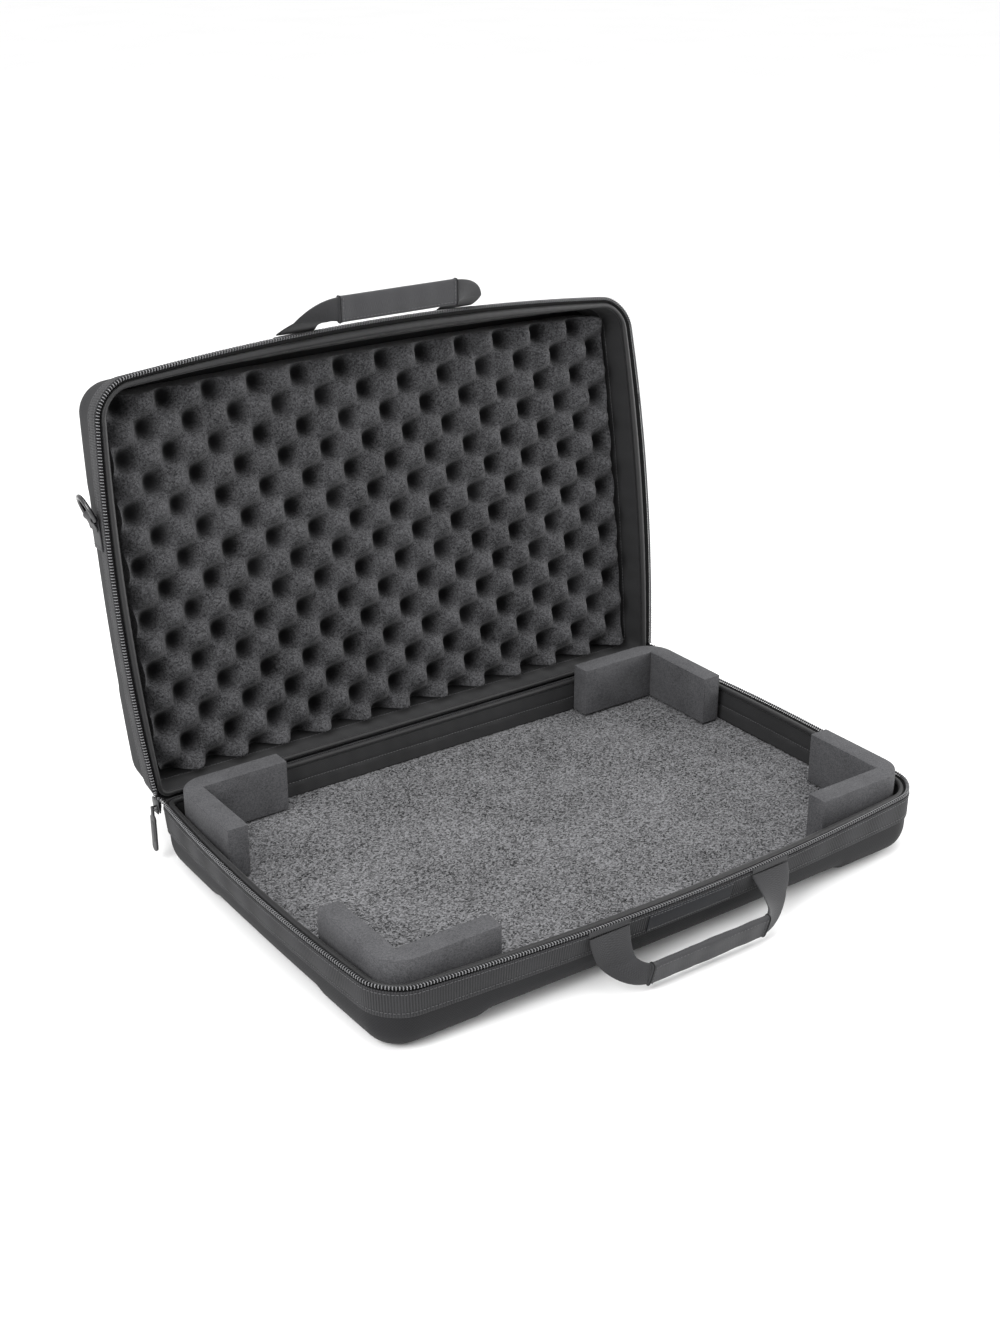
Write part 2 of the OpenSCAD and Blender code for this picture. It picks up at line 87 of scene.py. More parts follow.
class Side(Enum):
    """The two ends of the case along X."""

    LEFT = -1
    RIGHT = 1


class Corner(Enum):
    """The four corners of the tray, as signs along X and Y."""

    FRONT_LEFT = (-1, -1)
    FRONT_RIGHT = (1, -1)
    REAR_LEFT = (-1, 1)
    REAR_RIGHT = (1, 1)


# ---------------------------------------------------------------- shape helpers


def clamp01(value: Points) -> Points:
    """Limits values to the range 0 to 1."""
    return np.clip(value, 0.0, 1.0)


def ease(value: Points) -> Points:
    """Smooth step from 0 to 1."""
    u = clamp01(value)
    return u * u * (3 - 2 * u)


def resample(points: Points, count: int, closed: bool) -> Points:
    """Spaces points evenly along a polyline.

    Args:
        points: The polyline's points, one row each.
        count: How many points to return.
        closed: Whether the last point joins the first.

    Returns:
        The evenly spaced points.
    """
    line = np.vstack([points, points[:1]]) if closed else points
    steps = np.linalg.norm(np.diff(line, axis=0), axis=1)
    along = np.concatenate([[0], np.cumsum(steps)])
    wanted = np.linspace(0, along[-1], count, endpoint=not closed)
    return np.stack([np.interp(wanted, along, line[:, k]) for k in range(line.shape[1])], axis=1)


def bezier(controls: Sequence[Sequence[float]], count: int) -> Points:
    """Points along one cubic curve through four control points."""
    a, b, c, d = (np.array(p, float) for p in controls)
    u = np.linspace(0, 1, count)[:, None]
    return (1 - u) ** 3 * a + 3 * u * (1 - u) ** 2 * b + 3 * u * u * (1 - u) * c + u ** 3 * d


def oval(count: int, half_w: float, half_t: float, power: float) -> Points:
    """A flattened closed outline: a superellipse, flatter and squarer as power falls below 1."""
    t = np.arange(count) * TAU / count
    x, y = np.cos(t), np.sin(t)
    return np.stack([half_w * np.sign(x) * np.abs(x) ** power,
                     half_t * np.sign(y) * np.abs(y) ** power], axis=1)


def finish_mesh(obj: bpy.types.Object, sharp_deg: float = 50) -> bpy.types.Object:
    """Turns a closed mesh's faces outward and shades it smooth, with its hard edges kept."""
    work_on(obj, lambda bm: bmesh.ops.recalc_face_normals(bm, faces=bm.faces))
    obj.data.shade_smooth()
    obj.data.set_sharp_from_angle(angle=math.radians(sharp_deg))
    return obj


def work_on(obj: bpy.types.Object, change: Callable[[bmesh.types.BMesh], object]) -> None:
    """Runs one change on an editable copy of the object's mesh and writes it back."""
    bm = bmesh.new()
    bm.from_mesh(obj.data)
    change(bm)
    bm.to_mesh(obj.data)
    bm.free()
    obj.data.update()


def new_object(name: str, mesh: bpy.types.Mesh) -> bpy.types.Object:
    """Links a new object that holds the mesh."""
    obj = bpy.data.objects.new(name, mesh)
    bpy.context.scene.collection.objects.link(obj)
    return obj


def loft(name: str, rings: Points, loop: bool = False, sharp_deg: float = 50) -> bpy.types.Object:
    """Skins closed rings of points into a closed solid.

    Args:
        name: The object's name.
        rings: An array of rings, points and coordinates, in millimetres.
        loop: Whether the last ring joins the first; if not, both ends are capped.
        sharp_deg: Edges sharper than this stay hard.

    Returns:
        The object, with a UV map in metres: U round the ring, V from ring to ring.
    """
    m, n, _ = rings.shape
    rows = m if loop else m - 1
    i, j = np.meshgrid(np.arange(rows), np.arange(n), indexing="ij")
    i2, j2 = (i + 1) % m, (j + 1) % n
    quads = np.stack([i * n + j, i * n + j2, i2 * n + j2, i2 * n + j], axis=-1).reshape(-1, 4)
    faces = quads.tolist()
    if not loop:
        faces += [list(range(n - 1, -1, -1)), [(m - 1) * n + k for k in range(n)]]
    mesh = bpy.data.meshes.new(name)
    mesh.from_pydata((rings.reshape(-1, 3) * MM).tolist(), [], faces)
    around = np.linalg.norm(np.roll(rings, -1, axis=1) - rings, axis=2).sum(axis=1).max()
    hops = np.linalg.norm(np.roll(rings, -1, axis=0) - rings, axis=2).mean(axis=1)
    across = np.concatenate([[0], np.cumsum(hops)])
    u0, u1 = j * around / n, (j + 1) * around / n
    v0, v1 = across[i], across[i + 1]
    uv = np.stack([np.stack([u0, v0], -1), np.stack([u1, v0], -1),
                   np.stack([u1, v1], -1), np.stack([u0, v1], -1)], axis=2).reshape(-1, 2)
    if not loop:
        uv = np.vstack([uv, rings[0][::-1, :2], rings[-1][:, :2]])
    layer = mesh.uv_layers.new(name="cloth")
    layer.data.foreach_set("uv", (uv * MM).astype(np.float32).ravel())
    return finish_mesh(new_object(name, mesh), sharp_deg)


def frames_along(path: Points, up: Sequence[float]) -> tuple[Points, Points]:
    """Width and thickness directions at each point of a path, square to it.

    Args:
        path: The path's points.
        up: A direction that the thickness stays close to.

    Returns:
        The unit width directions and the unit thickness directions.
    """
    tangent = np.gradient(path, axis=0)
    tangent /= np.linalg.norm(tangent, axis=1, keepdims=True)
    wide = np.cross(tangent, np.array(up, float))
    wide /= np.linalg.norm(wide, axis=1, keepdims=True)
    return wide, np.cross(wide, tangent)


def sweep(name: str, path: Points, section: Points, up: Sequence[float]) -> bpy.types.Object:
    """Sweeps one closed section along a path into a capped solid."""
    wide, thick = frames_along(path, up)
    rings = (path[:, None] + section[None, :, :1] * wide[:, None]
             + section[None, :, 1:] * thick[:, None])
    return loft(name, rings)


def plate(name: str, outline: Points, low: float, high: float, bevel: float,
          segments: int = 2) -> bpy.types.Object:
    """A flat solid of the given outline, between two heights, with its edges rounded."""
    n = len(outline)
    bottom = np.column_stack([outline, np.full(n, low)])
    top = np.column_stack([outline, np.full(n, high)])
    mesh = bpy.data.meshes.new(name)
    sides = [[k, (k + 1) % n, n + (k + 1) % n, n + k] for k in range(n)]
    mesh.from_pydata((np.vstack([bottom, top]) * MM).tolist(), [],
                     sides + [list(range(n - 1, -1, -1)), list(range(n, 2 * n))])
    raw = new_object(name + "_raw", mesh)
    rounding = raw.modifiers.new("edge", "BEVEL")
    rounding.width = bevel * MM
    rounding.segments = segments
    rounding.limit_method = "ANGLE"
    rounding.angle_limit = math.radians(40)
    return finish_mesh(settle(raw, name), 35)


def settle(obj: bpy.types.Object, name: str) -> bpy.types.Object:
    """Replaces an object and its modifiers by a new object with the plain finished mesh."""
    graph = bpy.context.evaluated_depsgraph_get()
    graph.update()
    mesh = bpy.data.meshes.new_from_object(obj.evaluated_get(graph))
    old = obj.data
    bpy.data.objects.remove(obj)
    bpy.data.meshes.remove(old)
    mesh.name = name
    return new_object(name, mesh)


def move_points(obj: bpy.types.Object, rule: Callable[[Points], Points]) -> bpy.types.Object:
    """Moves every point of a mesh by a rule that takes and returns millimetres.

    Args:
        obj: The object whose mesh is changed.
        rule: Takes an array of points and returns their new places.

    Returns:
        The same object, with its faces still turned outward.
    """
    mesh = obj.data
    flat = np.empty(len(mesh.vertices) * 3)
    mesh.vertices.foreach_get("co", flat)
    before = flat.reshape(-1, 3) / MM
    after = rule(before)
    mesh.vertices.foreach_set("co", (after * MM).ravel())
    probe = np.vstack([np.zeros(3), np.eye(3)])
    moved = rule(probe)
    if np.linalg.det(moved[1:] - moved[0]) < 0:
        mesh.flip_normals()
    mesh.update()
    return obj


def join(name: str, objects: Sequence[bpy.types.Object]) -> bpy.types.Object:
    """Joins mesh objects into one with the given name."""
    chosen = list(objects)
    with bpy.context.temp_override(active_object=chosen[0], selected_editable_objects=chosen):
        bpy.ops.object.join()
    objects[0].name = name
    objects[0].data.name = name
    return objects[0]


# ---------------------------------------------------------------- materials


def linear(hex_colour: str) -> tuple[float, float, float, float]:
    """Turns an sRGB hex colour into linear RGBA."""
    parts = [int(hex_colour[k:k + 2], 16) / 255 for k in (1, 3, 5)]
    return (*[c / 12.92 if c <= 0.04045 else ((c + 0.055) / 1.055) ** 2.4 for c in parts], 1.0)


def add(tree: bpy.types.NodeTree, kind: str, sockets: dict | None = None,
        **settings: object) -> bpy.types.Node:
    """Adds a node with its settings, and fills or links its inputs.

    Args:
        tree: The node tree.
        kind: The node's type name.
        sockets: Input name or number to a value or to another node's output.
        settings: The node's own properties.

    Returns:
        The new node.
    """
    node = tree.nodes.new(kind)
    for key, value in settings.items():
        setattr(node, key, value)
    for key, value in (sockets or {}).items():
        if isinstance(value, bpy.types.NodeSocket):
            tree.links.new(value, node.inputs[key])
        else:
            node.inputs[key].default_value = value
    return node


@dataclass(frozen=True)
class Finish:
    """A surface finish; subclasses draw its relief.

    Attributes:
        name: What the real material is.
        dark: Colour in the hollows, sRGB.
        light: Colour on the high points, sRGB.
        rough: Roughness.
        relief: Height of the pattern in millimetres.
        blotch: Width of the slow colour changes in millimetres.
        sheen: Weight of the cloth sheen.
        metallic: 1 on bare or plated metal.
        specular: Specular level.
    """

    name: str
    dark: str
    light: str
    rough: float
    relief: float = 0.2
    blotch: float = 40.0
    sheen: float = 0.0
    metallic: float = 0.0
    specular: float = 0.5

    def pattern(self, tree: bpy.types.NodeTree) -> bpy.types.NodeSocket:
        """The relief from 0 to 1; here a fine grain of noise."""
        place = add(tree, "ShaderNodeTexCoord")
        grain = add(tree, "ShaderNodeTexNoise", {"Vector": place.outputs["Object"],
                                                 "Scale": 1 / (0.6 * MM), "Detail": 3.0})
        return grain.outputs["Fac"]

    def build(self) -> bpy.types.Material:
        """Makes the material, once; later calls return the same one."""
        if self.name in bpy.data.materials:
            return bpy.data.materials[self.name]
        material = bpy.data.materials.new(self.name)
        material.use_nodes = True
        tree = material.node_tree
        tree.nodes.clear()
        relief = self.pattern(tree)
        place = add(tree, "ShaderNodeTexCoord")
        slow = add(tree, "ShaderNodeTexNoise", {"Vector": place.outputs["Object"],
                                                "Scale": 1 / (self.blotch * MM), "Detail": 4.0})
        amount = add(tree, "ShaderNodeMath", {0: slow.outputs["Fac"], 1: 0.5, 2: -0.25},
                     operation="MULTIPLY_ADD")
        blend = add(tree, "ShaderNodeMath", {0: relief, 1: amount.outputs[0]},
                    operation="ADD", use_clamp=True)
        colour = add(tree, "ShaderNodeMix", {0: blend.outputs[0], 6: linear(self.dark),
                                             7: linear(self.light)}, data_type="RGBA")
        rough = add(tree, "ShaderNodeMapRange", {"Value": slow.outputs["Fac"],
                                                 "To Min": max(self.rough - 0.07, 0.05),
                                                 "To Max": min(self.rough + 0.07, 1.0)})
        bump = add(tree, "ShaderNodeBump", {"Height": relief, "Strength": 1.0,
                                            "Distance": self.relief * MM})
        shader = add(tree, "ShaderNodeBsdfPrincipled",
                     {"Base Color": colour.outputs[2], "Roughness": rough.outputs[0],
                      "Normal": bump.outputs[0], "Metallic": self.metallic,
                      "Sheen Weight": self.sheen, "Specular IOR Level": self.specular})
        add(tree, "ShaderNodeOutputMaterial", {"Surface": shader.outputs[0]})
        return material

    def dress(self, obj: bpy.types.Object) -> bpy.types.Object:
        """Gives the object this finish alone."""
        obj.data.materials.clear()
        obj.data.materials.append(self.build())
        return obj


@dataclass(frozen=True)
class Weave(Finish):
    """Plain-woven cloth, with threads along U and V of the piece's own map."""

    thread_u: float = 1.2
    thread_v: float = 1.2

    def pattern(self, tree: bpy.types.NodeTree) -> bpy.types.NodeSocket:
        """Threads that pass over and under each other, frayed a little by noise."""
        place = add(tree, "ShaderNodeTexCoord")
        parts = add(tree, "ShaderNodeSeparateXYZ", {0: place.outputs["UV"]})
        waves = []
        for axis, pitch in ((0, self.thread_u), (1, self.thread_v)):
            turn = add(tree, "ShaderNodeMath", {0: parts.outputs[axis], 1: TAU / (2 * pitch * MM)},
                       operation="MULTIPLY")
            waves.append(add(tree, "ShaderNodeMath", {0: turn.outputs[0]}, operation="SINE"))
        cross = add(tree, "ShaderNodeMath", {0: waves[0].outputs[0], 1: waves[1].outputs[0]},
                    operation="MULTIPLY")
        fray = add(tree, "ShaderNodeTexNoise", {"Vector": place.outputs["UV"],
                                                "Scale": 1 / (0.8 * MM), "Detail": 2.0})
        level = add(tree, "ShaderNodeMath", {0: cross.outputs[0], 1: 0.3, 2: fray.outputs["Fac"]},
                    operation="MULTIPLY_ADD", use_clamp=True)
        return level.outputs[0]


@dataclass(frozen=True)
class Ribbed(Finish):
    """Webbing or ribbon with cords a fixed pitch apart along U, or along V when turned."""

    pitch: float = 2.2
    turned: bool = False

    def pattern(self, tree: bpy.types.NodeTree) -> bpy.types.NodeSocket:
        """Round cords with a fine cross thread."""
        place = add(tree, "ShaderNodeTexCoord")
        direction = "Y" if self.turned else "X"
        cords = add(tree, "ShaderNodeTexWave",
                    {"Vector": place.outputs["UV"], "Scale": TAU / 20 / (self.pitch * MM),
                     "Distortion": 0.4, "Detail": 1.0},
                    wave_type="BANDS", bands_direction=direction)
        fray = add(tree, "ShaderNodeTexNoise", {"Vector": place.outputs["UV"],
                                                "Scale": 1 / (0.7 * MM), "Detail": 3.0})
        level = add(tree, "ShaderNodeMath", {0: fray.outputs["Fac"], 1: 0.7, 2: -0.2},
                    operation="MULTIPLY_ADD")
        total = add(tree, "ShaderNodeMath", {0: cords.outputs["Fac"], 1: 0.6, 2: level.outputs[0]},
                    operation="MULTIPLY_ADD", use_clamp=True)
        return total.outputs[0]


@dataclass(frozen=True)
class Cells(Finish):
    """Foam or pile made of small cells."""

    cell: float = 1.0
    mottle: float = 0.5

    def pattern(self, tree: bpy.types.NodeTree) -> bpy.types.NodeSocket:
        """Cells of random level, softened by noise."""
        place = add(tree, "ShaderNodeTexCoord")
        cells = add(tree, "ShaderNodeTexVoronoi", {"Vector": place.outputs["Object"],
                                                   "Scale": 1 / (self.cell * MM)})
        level = add(tree, "ShaderNodeSeparateColor", {0: cells.outputs["Color"]})
        grain_size = 2.2 * self.cell * MM
        grain = add(tree, "ShaderNodeTexNoise", {"Vector": place.outputs["Object"],
                                                 "Scale": 1 / grain_size, "Detail": 4.0})
        total = add(tree, "ShaderNodeMix", {0: self.mottle, 2: grain.outputs["Fac"],
                                            3: level.outputs[0]}, data_type="FLOAT")
        return total.outputs[0]


@dataclass(frozen=True)
class PitShadedCells(Cells):
    """Convoluted foam, with painted shade that darkens the colour deep in each dimple."""

    def pattern(self, tree: bpy.types.NodeTree) -> bpy.types.NodeSocket:
        """The cells, fading to the dark colour with the mesh's own measure of depth: painted shade
        in the dimples.
        """
        level = super().pattern(tree)
        pit = add(tree, "ShaderNodeAttribute", attribute_name="pit")
        keep = add(tree, "ShaderNodeMapRange", {"Value": pit.outputs["Fac"], "From Min": 0.38,
                                                "From Max": 0.98, "To Min": 1.0, "To Max": 0.0},
                   interpolation_type="SMOOTHSTEP")
        total = add(tree, "ShaderNodeMath", {0: level, 1: keep.outputs[0]}, operation="MULTIPLY")
        return total.outputs[0]


# Moulded EVA foam faced with 600-denier polyester: matt, with a fine even plain weave
COVER_CLOTH = Weave("bonded_polyester_cover", "#0c0c0d", "#202022", 0.82, 0.12, 60, 0.03,
                    specular=0.2, thread_u=1.1, thread_v=1.1)
# Grosgrain edge band: fine upright cords, a little lighter than the cover
BAND_CLOTH = Ribbed("grosgrain_edge_band", "#131314", "#343436", 0.8, 0.2, 50, 0.04,
                    specular=0.25, pitch=2.2)
# Zip tape: dense black herringbone polyester
TAPE_CLOTH = Ribbed("polyester_zip_tape", "#060606", "#111112", 0.8, 0.08, specular=0.15,
                    pitch=1.0, turned=True)
# Nylon coil: smooth black monofilament, coloured lighter grey all over as a painted highlight for
# the glint on each turn
COIL_NYLON = Finish("nylon_zip_coil", "#3c3c3e", "#707072", 0.25, 0.02, specular=0.8)
# Padded rim roll and wall lining: smooth black nylon tricot with a soft sheen
ROLL_CLOTH = Weave("nylon_tricot_roll", "#0b0b0c", "#1c1c1d", 0.5, 0.05, 30, 0.06,
                   specular=0.35, thread_u=0.9, thread_v=0.9)
LINING_CLOTH = Weave("nylon_lining", "#111112", "#262627", 0.66, 0.06, 35, 0.05,
                     specular=0.3, thread_u=1.0, thread_v=1.0)
# Closed-cell foam board, hidden under the carpet
BOARD_FOAM = Cells("eva_board_foam", "#1d1d1e", "#333334", 0.9, 0.1, cell=0.8)
# Loop-pile carpet: light and dark fibres mixed, so it looks salt-and-pepper
CARPET = Cells("loop_pile_carpet", "#070708", "#757577", 0.95, 0.5, 70, 0.05, specular=0.1,
               cell=1.25, mottle=0.9)
# Cut EVA foam blocks: even charcoal grey with a very fine skin of closed cells
BLOCK_FOAM = Cells("cut_eva_foam", "#28282a", "#545456", 0.88, 0.08, 22, 0.03, specular=0.2,
                   cell=0.7, mottle=0.45)
# Open-cell polyurethane foam, charcoal: matt, porous and slightly speckled, with painted shade deep
# in its dimples
WAVE_FOAM = PitShadedCells("polyurethane_foam", "#09090a", "#4e4e50", 0.96, 0.35, 45, 0.05,
                   specular=0.1, cell=1.1, mottle=0.6)
# Nylon webbing: a close basket weave
STRAP = Weave("nylon_webbing", "#161617", "#303032", 0.74, 0.1, 30, 0.08, specular=0.25,
              thread_u=0.9, thread_v=0.9)
# Sleeve cloth: smooth, closely woven polyester
SLEEVE_CLOTH = Weave("polyester_sleeve", "#1f1f21", "#363638", 0.7, 0.07, 18, 0.08,
                     specular=0.25, thread_u=0.8, thread_v=0.8)
# Edge binding at the sleeve's ends: black tape
BINDING = Finish("black_binding", "#050506", "#0c0c0d", 0.7, 0.03, specular=0.2)
# Bonded nylon sewing thread, with a faint shine
THREAD = Finish("nylon_thread", "#2a2a2b", "#4a4a4c", 0.5, 0.02, specular=0.4)
# Satin-woven label, left blank
LABEL_SATIN = Ribbed("satin_label", "#0a0b0f", "#14161c", 0.42, 0.04, specular=0.3, pitch=0.9,
                     turned=True)
# Die-cast zinc with worn black paint
SLIDER_ZINC = Finish("painted_zinc", "#19191a", "#4a4a4c", 0.34, 0.03, 6, metallic=0.85)
# Soft PVC pull: satin, dark grey
PULL_PVC = Finish("soft_pvc_pull", "#111112", "#262628", 0.46, 0.04, 12)
# Welded steel ring with glossy black paint
RING_STEEL = Finish("black_painted_steel", "#08080a", "#141416", 0.25, 0.02, 10, specular=0.7)
# Polypropylene hook tape: tiny stiff hooks
HOOK_TAPE = Cells("hook_tape", "#050505", "#141415", 0.6, 0.2, specular=0.3, cell=1.4)


# ---------------------------------------------------------------- the case's form


@dataclass(frozen=True)
class CaseForm:
    """Driving sizes of the case in millimetres, the same as the CAD part's."""

    length: float = 507.0
    width: float = 334.0
    rim_h: float = 32.0
    lid_open: float = 98.5
    front_bow: float = 15.0
    side_bow: float = 9.5
    front_corner_r: float = 26.0
    rear_corner_r: float = 10.0
    wall: float = 5.2
    floor: float = 4.5
    land_x: float = 82.0
    land_y: float = 86.0
    land_h: float = 3.5
    band_h: float = 25.0
    band_t: float = 1.2
    lining_t: float = 1.5
    roll_d: float = 5.6
    coil_w: float = 3.2
    coil_h: float = 3.0
    tape_t: float = 0.8
    shell_out: float = 1.2
    shell_top: float = 7.6
    band_top: float = 4.2
    coil_end: float = 3.2
    zip_end: float = 12.0

    @property
    def half_l(self) -> float:
        """Half the length between the side zip rows."""
        return self.length / 2

    @property
    def half_w(self) -> float:
        """Half the width between the front zip row and the rear wall."""
        return self.width / 2

    @property
    def hinge(self) -> tuple[float, float]:
        """The hinge line's Y and Z."""
        return self.half_w - 1, self.rim_h - 6

    @property
    def shell_in(self) -> float:
        """Offset of the shell's inner face from the zip row."""
        return self.shell_out - self.wall

    @property
    def band_out(self) -> float:
        """Offset of the edge band's outer face from the zip row."""
        return self.shell_out + self.band_t

    @property
    def lining_in(self) -> float:
        """Offset of the lining's inner face from the zip row."""
        return self.shell_in - self.lining_t


@dataclass(frozen=True)
class Half:
    """The tray or the lid, drawn hanging under its own closing plane.

    Attributes:
        body: The CAD body that it belongs to, also its name.
        form: The case's sizes.
        depth: From the closing plane to the bottom.
        edge_r: Radius between the walls and the bottom.
        draft: How far the bottom is drawn in.
        bow_loss: Share of the bow that the walls lose by the bottom.
        lining_end: Distance at which the wall lining stops.
        sag: How far the soft front rim hangs at its middle.
    """

    body: str
    form: CaseForm
    depth: float
    edge_r: float
    draft: float
    bow_loss: float
    lining_end: float
    sag: float

    def outline(self, e: float, d: float, count: int) -> Points:
        """A rounded, bowed outline at offset e from the zip row and distance d from the plane.

        Args:
            e: Offset from the zip row, outward positive.
            d: Distance from the closing plane.
            count: How many points to return.

        Returns:
            Evenly spaced points from the middle of the rear wall, by way of the left side.
        """
        f = self.form
        share = min(max(d / self.depth, 0.0), 1.0)
        length, width = f.half_l + e, f.half_w + e
        rf = max(f.front_corner_r + e, 4)
        rr = max(f.rear_corner_r + (f.front_corner_r - f.rear_corner_r) * share + e, 3)
        arcs = [((-length + rr, width - rr), rr, 90), ((-length + rf, -width + rf), rf, 180),
                ((length - rf, -width + rf), rf, 270), ((length - rr, width - rr), rr, 0)]
        parts = [np.array([[0.0, width]])]
        for centre, radius, start in arcs:
            turn = np.radians(start + np.linspace(0, 90, 24))
            parts.append(np.array(centre) + radius * np.stack([np.cos(turn), np.sin(turn)], axis=1))
        plain = resample(np.vstack(parts), 900, True)
        x, y = plain[:, 0], plain[:, 1]
        on_side = clamp01((np.abs(x) - f.half_l + f.front_corner_r) / f.front_corner_r)
        on_front = clamp01((-y - f.half_w + f.front_corner_r) / f.front_corner_r)
        along_x = np.minimum(np.abs(x) / f.half_l, 1)
        along_y = np.minimum(np.abs(y) / f.half_w, 1)
        keep = 1 - self.bow_loss * share
        bowed = np.stack([x + np.sign(x) * keep * f.side_bow * (1 - along_y ** 2) * on_side,
                          y - keep * f.front_bow * (1 - along_x ** 2) * on_front], axis=1)
        return resample(bowed, count, True)

    def ring(self, e: float, d: float, count: int = 480) -> Points:
        """One ring of a wall, as outline gives it, at its height under the closing plane."""
        flat = self.outline(e - self.draft * d / self.depth, d, count)
        f = self.form
        droop = self.sag * clamp01(-flat[:, 1] / f.half_w) ** 2
        droop = droop * clamp01(1 - (flat[:, 0] / f.half_l) ** 2) ** 2 * max(1 - d / self.depth, 0)
        return np.column_stack([flat, -d - droop])

    def place(self, points: Points) -> Points:
        """Takes points from under the closing plane to the open case, tray or lid."""
        f = self.form
        out = np.array(points, float)
        if self.body == "tray":
            out[:, 2] += f.rim_h
            return out
        out[:, 2] = f.rim_h - out[:, 2]
        return open_lid(f, out)

    def front(self, x: float, d: float) -> float:
        """Y of the edge band's front face at a place along the front, at distance d."""
        f = self.form
        keep = 1 - self.bow_loss * d / self.depth
        bow = f.front_bow * keep * (1 - (x / f.half_l) ** 2)
        return -f.half_w - f.band_out - bow + self.draft * d / self.depth


def open_lid(form: CaseForm, points: Points) -> Points:
    """Swings points of the closed lid about the hinge line to the open lid."""
    hinge_y, hinge_z = form.hinge
    turn = math.radians(form.lid_open)
    y, z = points[:, 1] - hinge_y, points[:, 2] - hinge_z
    return np.stack([points[:, 0], y * math.cos(turn) + z * math.sin(turn) + hinge_y,
                     -y * math.sin(turn) + z * math.cos(turn) + hinge_z], axis=1)


# ---------------------------------------------------------------- repeated small pieces


class Row:
    """A Geometry Nodes tree that repeats one small piece along a rail."""

    def __init__(self) -> None:
        """Builds the tree: rail and piece in, a row of real pieces out."""
        tree = bpy.data.node_groups.new("pieces_along_a_rail", "GeometryNodeTree")
        face = tree.interface
        face.new_socket("Rail", in_out="INPUT", socket_type="NodeSocketGeometry")
        self.sockets = {
            "Piece": face.new_socket("Piece", in_out="INPUT", socket_type="NodeSocketObject"),
            "Pitch": face.new_socket("Pitch", in_out="INPUT", socket_type="NodeSocketFloat"),
            "Skew": face.new_socket("Skew", in_out="INPUT", socket_type="NodeSocketFloat"),
            "Wobble": face.new_socket("Wobble", in_out="INPUT", socket_type="NodeSocketFloat"),
            "Finish": face.new_socket("Finish", in_out="INPUT", socket_type="NodeSocketMaterial"),
        }
        face.new_socket("Row", in_out="OUTPUT", socket_type="NodeSocketGeometry")
        given = add(tree, "NodeGroupInput").outputs
        curve = add(tree, "GeometryNodeMeshToCurve", {"Mesh": given["Rail"]})
        spaced = add(tree, "GeometryNodeResampleCurve", {"Curve": curve.outputs[0],
                                                         "Length": given["Pitch"]}, mode="LENGTH")
        tangent = add(tree, "GeometryNodeInputTangent")
        aligned = add(tree, "FunctionNodeAlignRotationToVector", {"Vector": tangent.outputs[0]},
                      axis="X", pivot_axis="AUTO")
        loose = add(tree, "FunctionNodeRandomValue", {"Seed": 7}, data_type="FLOAT")
        centred = add(tree, "ShaderNodeMath", {0: loose.outputs[1], 1: 0.5}, operation="SUBTRACT")
        swing = add(tree, "ShaderNodeMath", {0: centred.outputs[0], 1: given["Wobble"],
                                             2: given["Skew"]}, operation="MULTIPLY_ADD")
        lean = add(tree, "ShaderNodeCombineXYZ", {2: swing.outputs[0]})
        turned = add(tree, "FunctionNodeRotateRotation",
                     {0: aligned.outputs[0], 1: lean.outputs[0]}, rotation_space="LOCAL")
        piece = add(tree, "GeometryNodeObjectInfo", {"Object": given["Piece"]})
        placed = add(tree, "GeometryNodeInstanceOnPoints",
                     {"Points": spaced.outputs[0], "Instance": piece.outputs["Geometry"],
                      "Rotation": turned.outputs[0]})
        real = add(tree, "GeometryNodeRealizeInstances", {0: placed.outputs[0]})
        dressed = add(tree, "GeometryNodeSetMaterial", {"Geometry": real.outputs[0],
                                                        "Material": given["Finish"]})
        add(tree, "NodeGroupOutput", {0: dressed.outputs[0]})
        self.tree = tree

    def lay(self, name: str, rail: Points, piece: bpy.types.Object, pitch: float,
            finish: Finish, skew: float = 0.0, wobble: float = 0.0) -> bpy.types.Object:
        """Lays copies of a piece along an open rail.

        Args:
            name: The new object's name.
            rail: Points that the row follows, in millimetres.
            piece: The small object that is repeated, with its X along the row.
            pitch: Distance from one piece to the next, in millimetres.
            finish: The row's finish.
            skew: Turn of each piece about its own Z, in radians.
            wobble: Random turn added to the skew, in radians.

        Returns:
            The row as one plain mesh.
        """
        mesh = bpy.data.meshes.new(name)
        mesh.from_pydata((rail * MM).tolist(), [[k, k + 1] for k in range(len(rail) - 1)], [])
        holder = new_object(name + "_rail", mesh)
        modifier = holder.modifiers.new("row", "NODES")
        modifier.node_group = self.tree
        values = {"Piece": piece, "Pitch": pitch * MM, "Skew": skew, "Wobble": wobble,
                  "Finish": finish.build()}
        for key, value in values.items():
            modifier[self.sockets[key].identifier] = value
        row = settle(holder, name)
        row.data.shade_smooth()
        return finish.dress(row)


def coil_turn(form: CaseForm) -> bpy.types.Object:
    """One turn of the zip's coil: a flat loop of monofilament, square to the row."""
    wire = 0.46
    turns, sides = 12, 5
    loop = oval(turns, form.coil_w / 2 - wire, form.coil_h / 2 - wire, 0.8)
    outward = loop / np.linalg.norm(loop, axis=1, keepdims=True)
    around = np.arange(sides) * TAU / sides
    rings = np.stack([np.column_stack([np.full(turns, wire * math.sin(a)),
                                       loop + outward * wire * math.cos(a)]) for a in around])
    return template(loft("coil_turn", rings, loop=True, sharp_deg=180))


def stitch(length: float, width: float) -> bpy.types.Object:
    """One lockstitch: a short, fat-ended length of thread along X."""
    stations = np.array([-0.5, -0.36, 0.0, 0.36, 0.5]) * length
    size = np.array([0.35, 0.9, 1.0, 0.9, 0.35]) * width / 2
    t = np.arange(6) * TAU / 6
    rings = np.stack([np.column_stack([np.full(6, s), r * np.cos(t), r * np.sin(t)])
                      for s, r in zip(stations, size)])
    return template(loft("stitch", rings, sharp_deg=180))


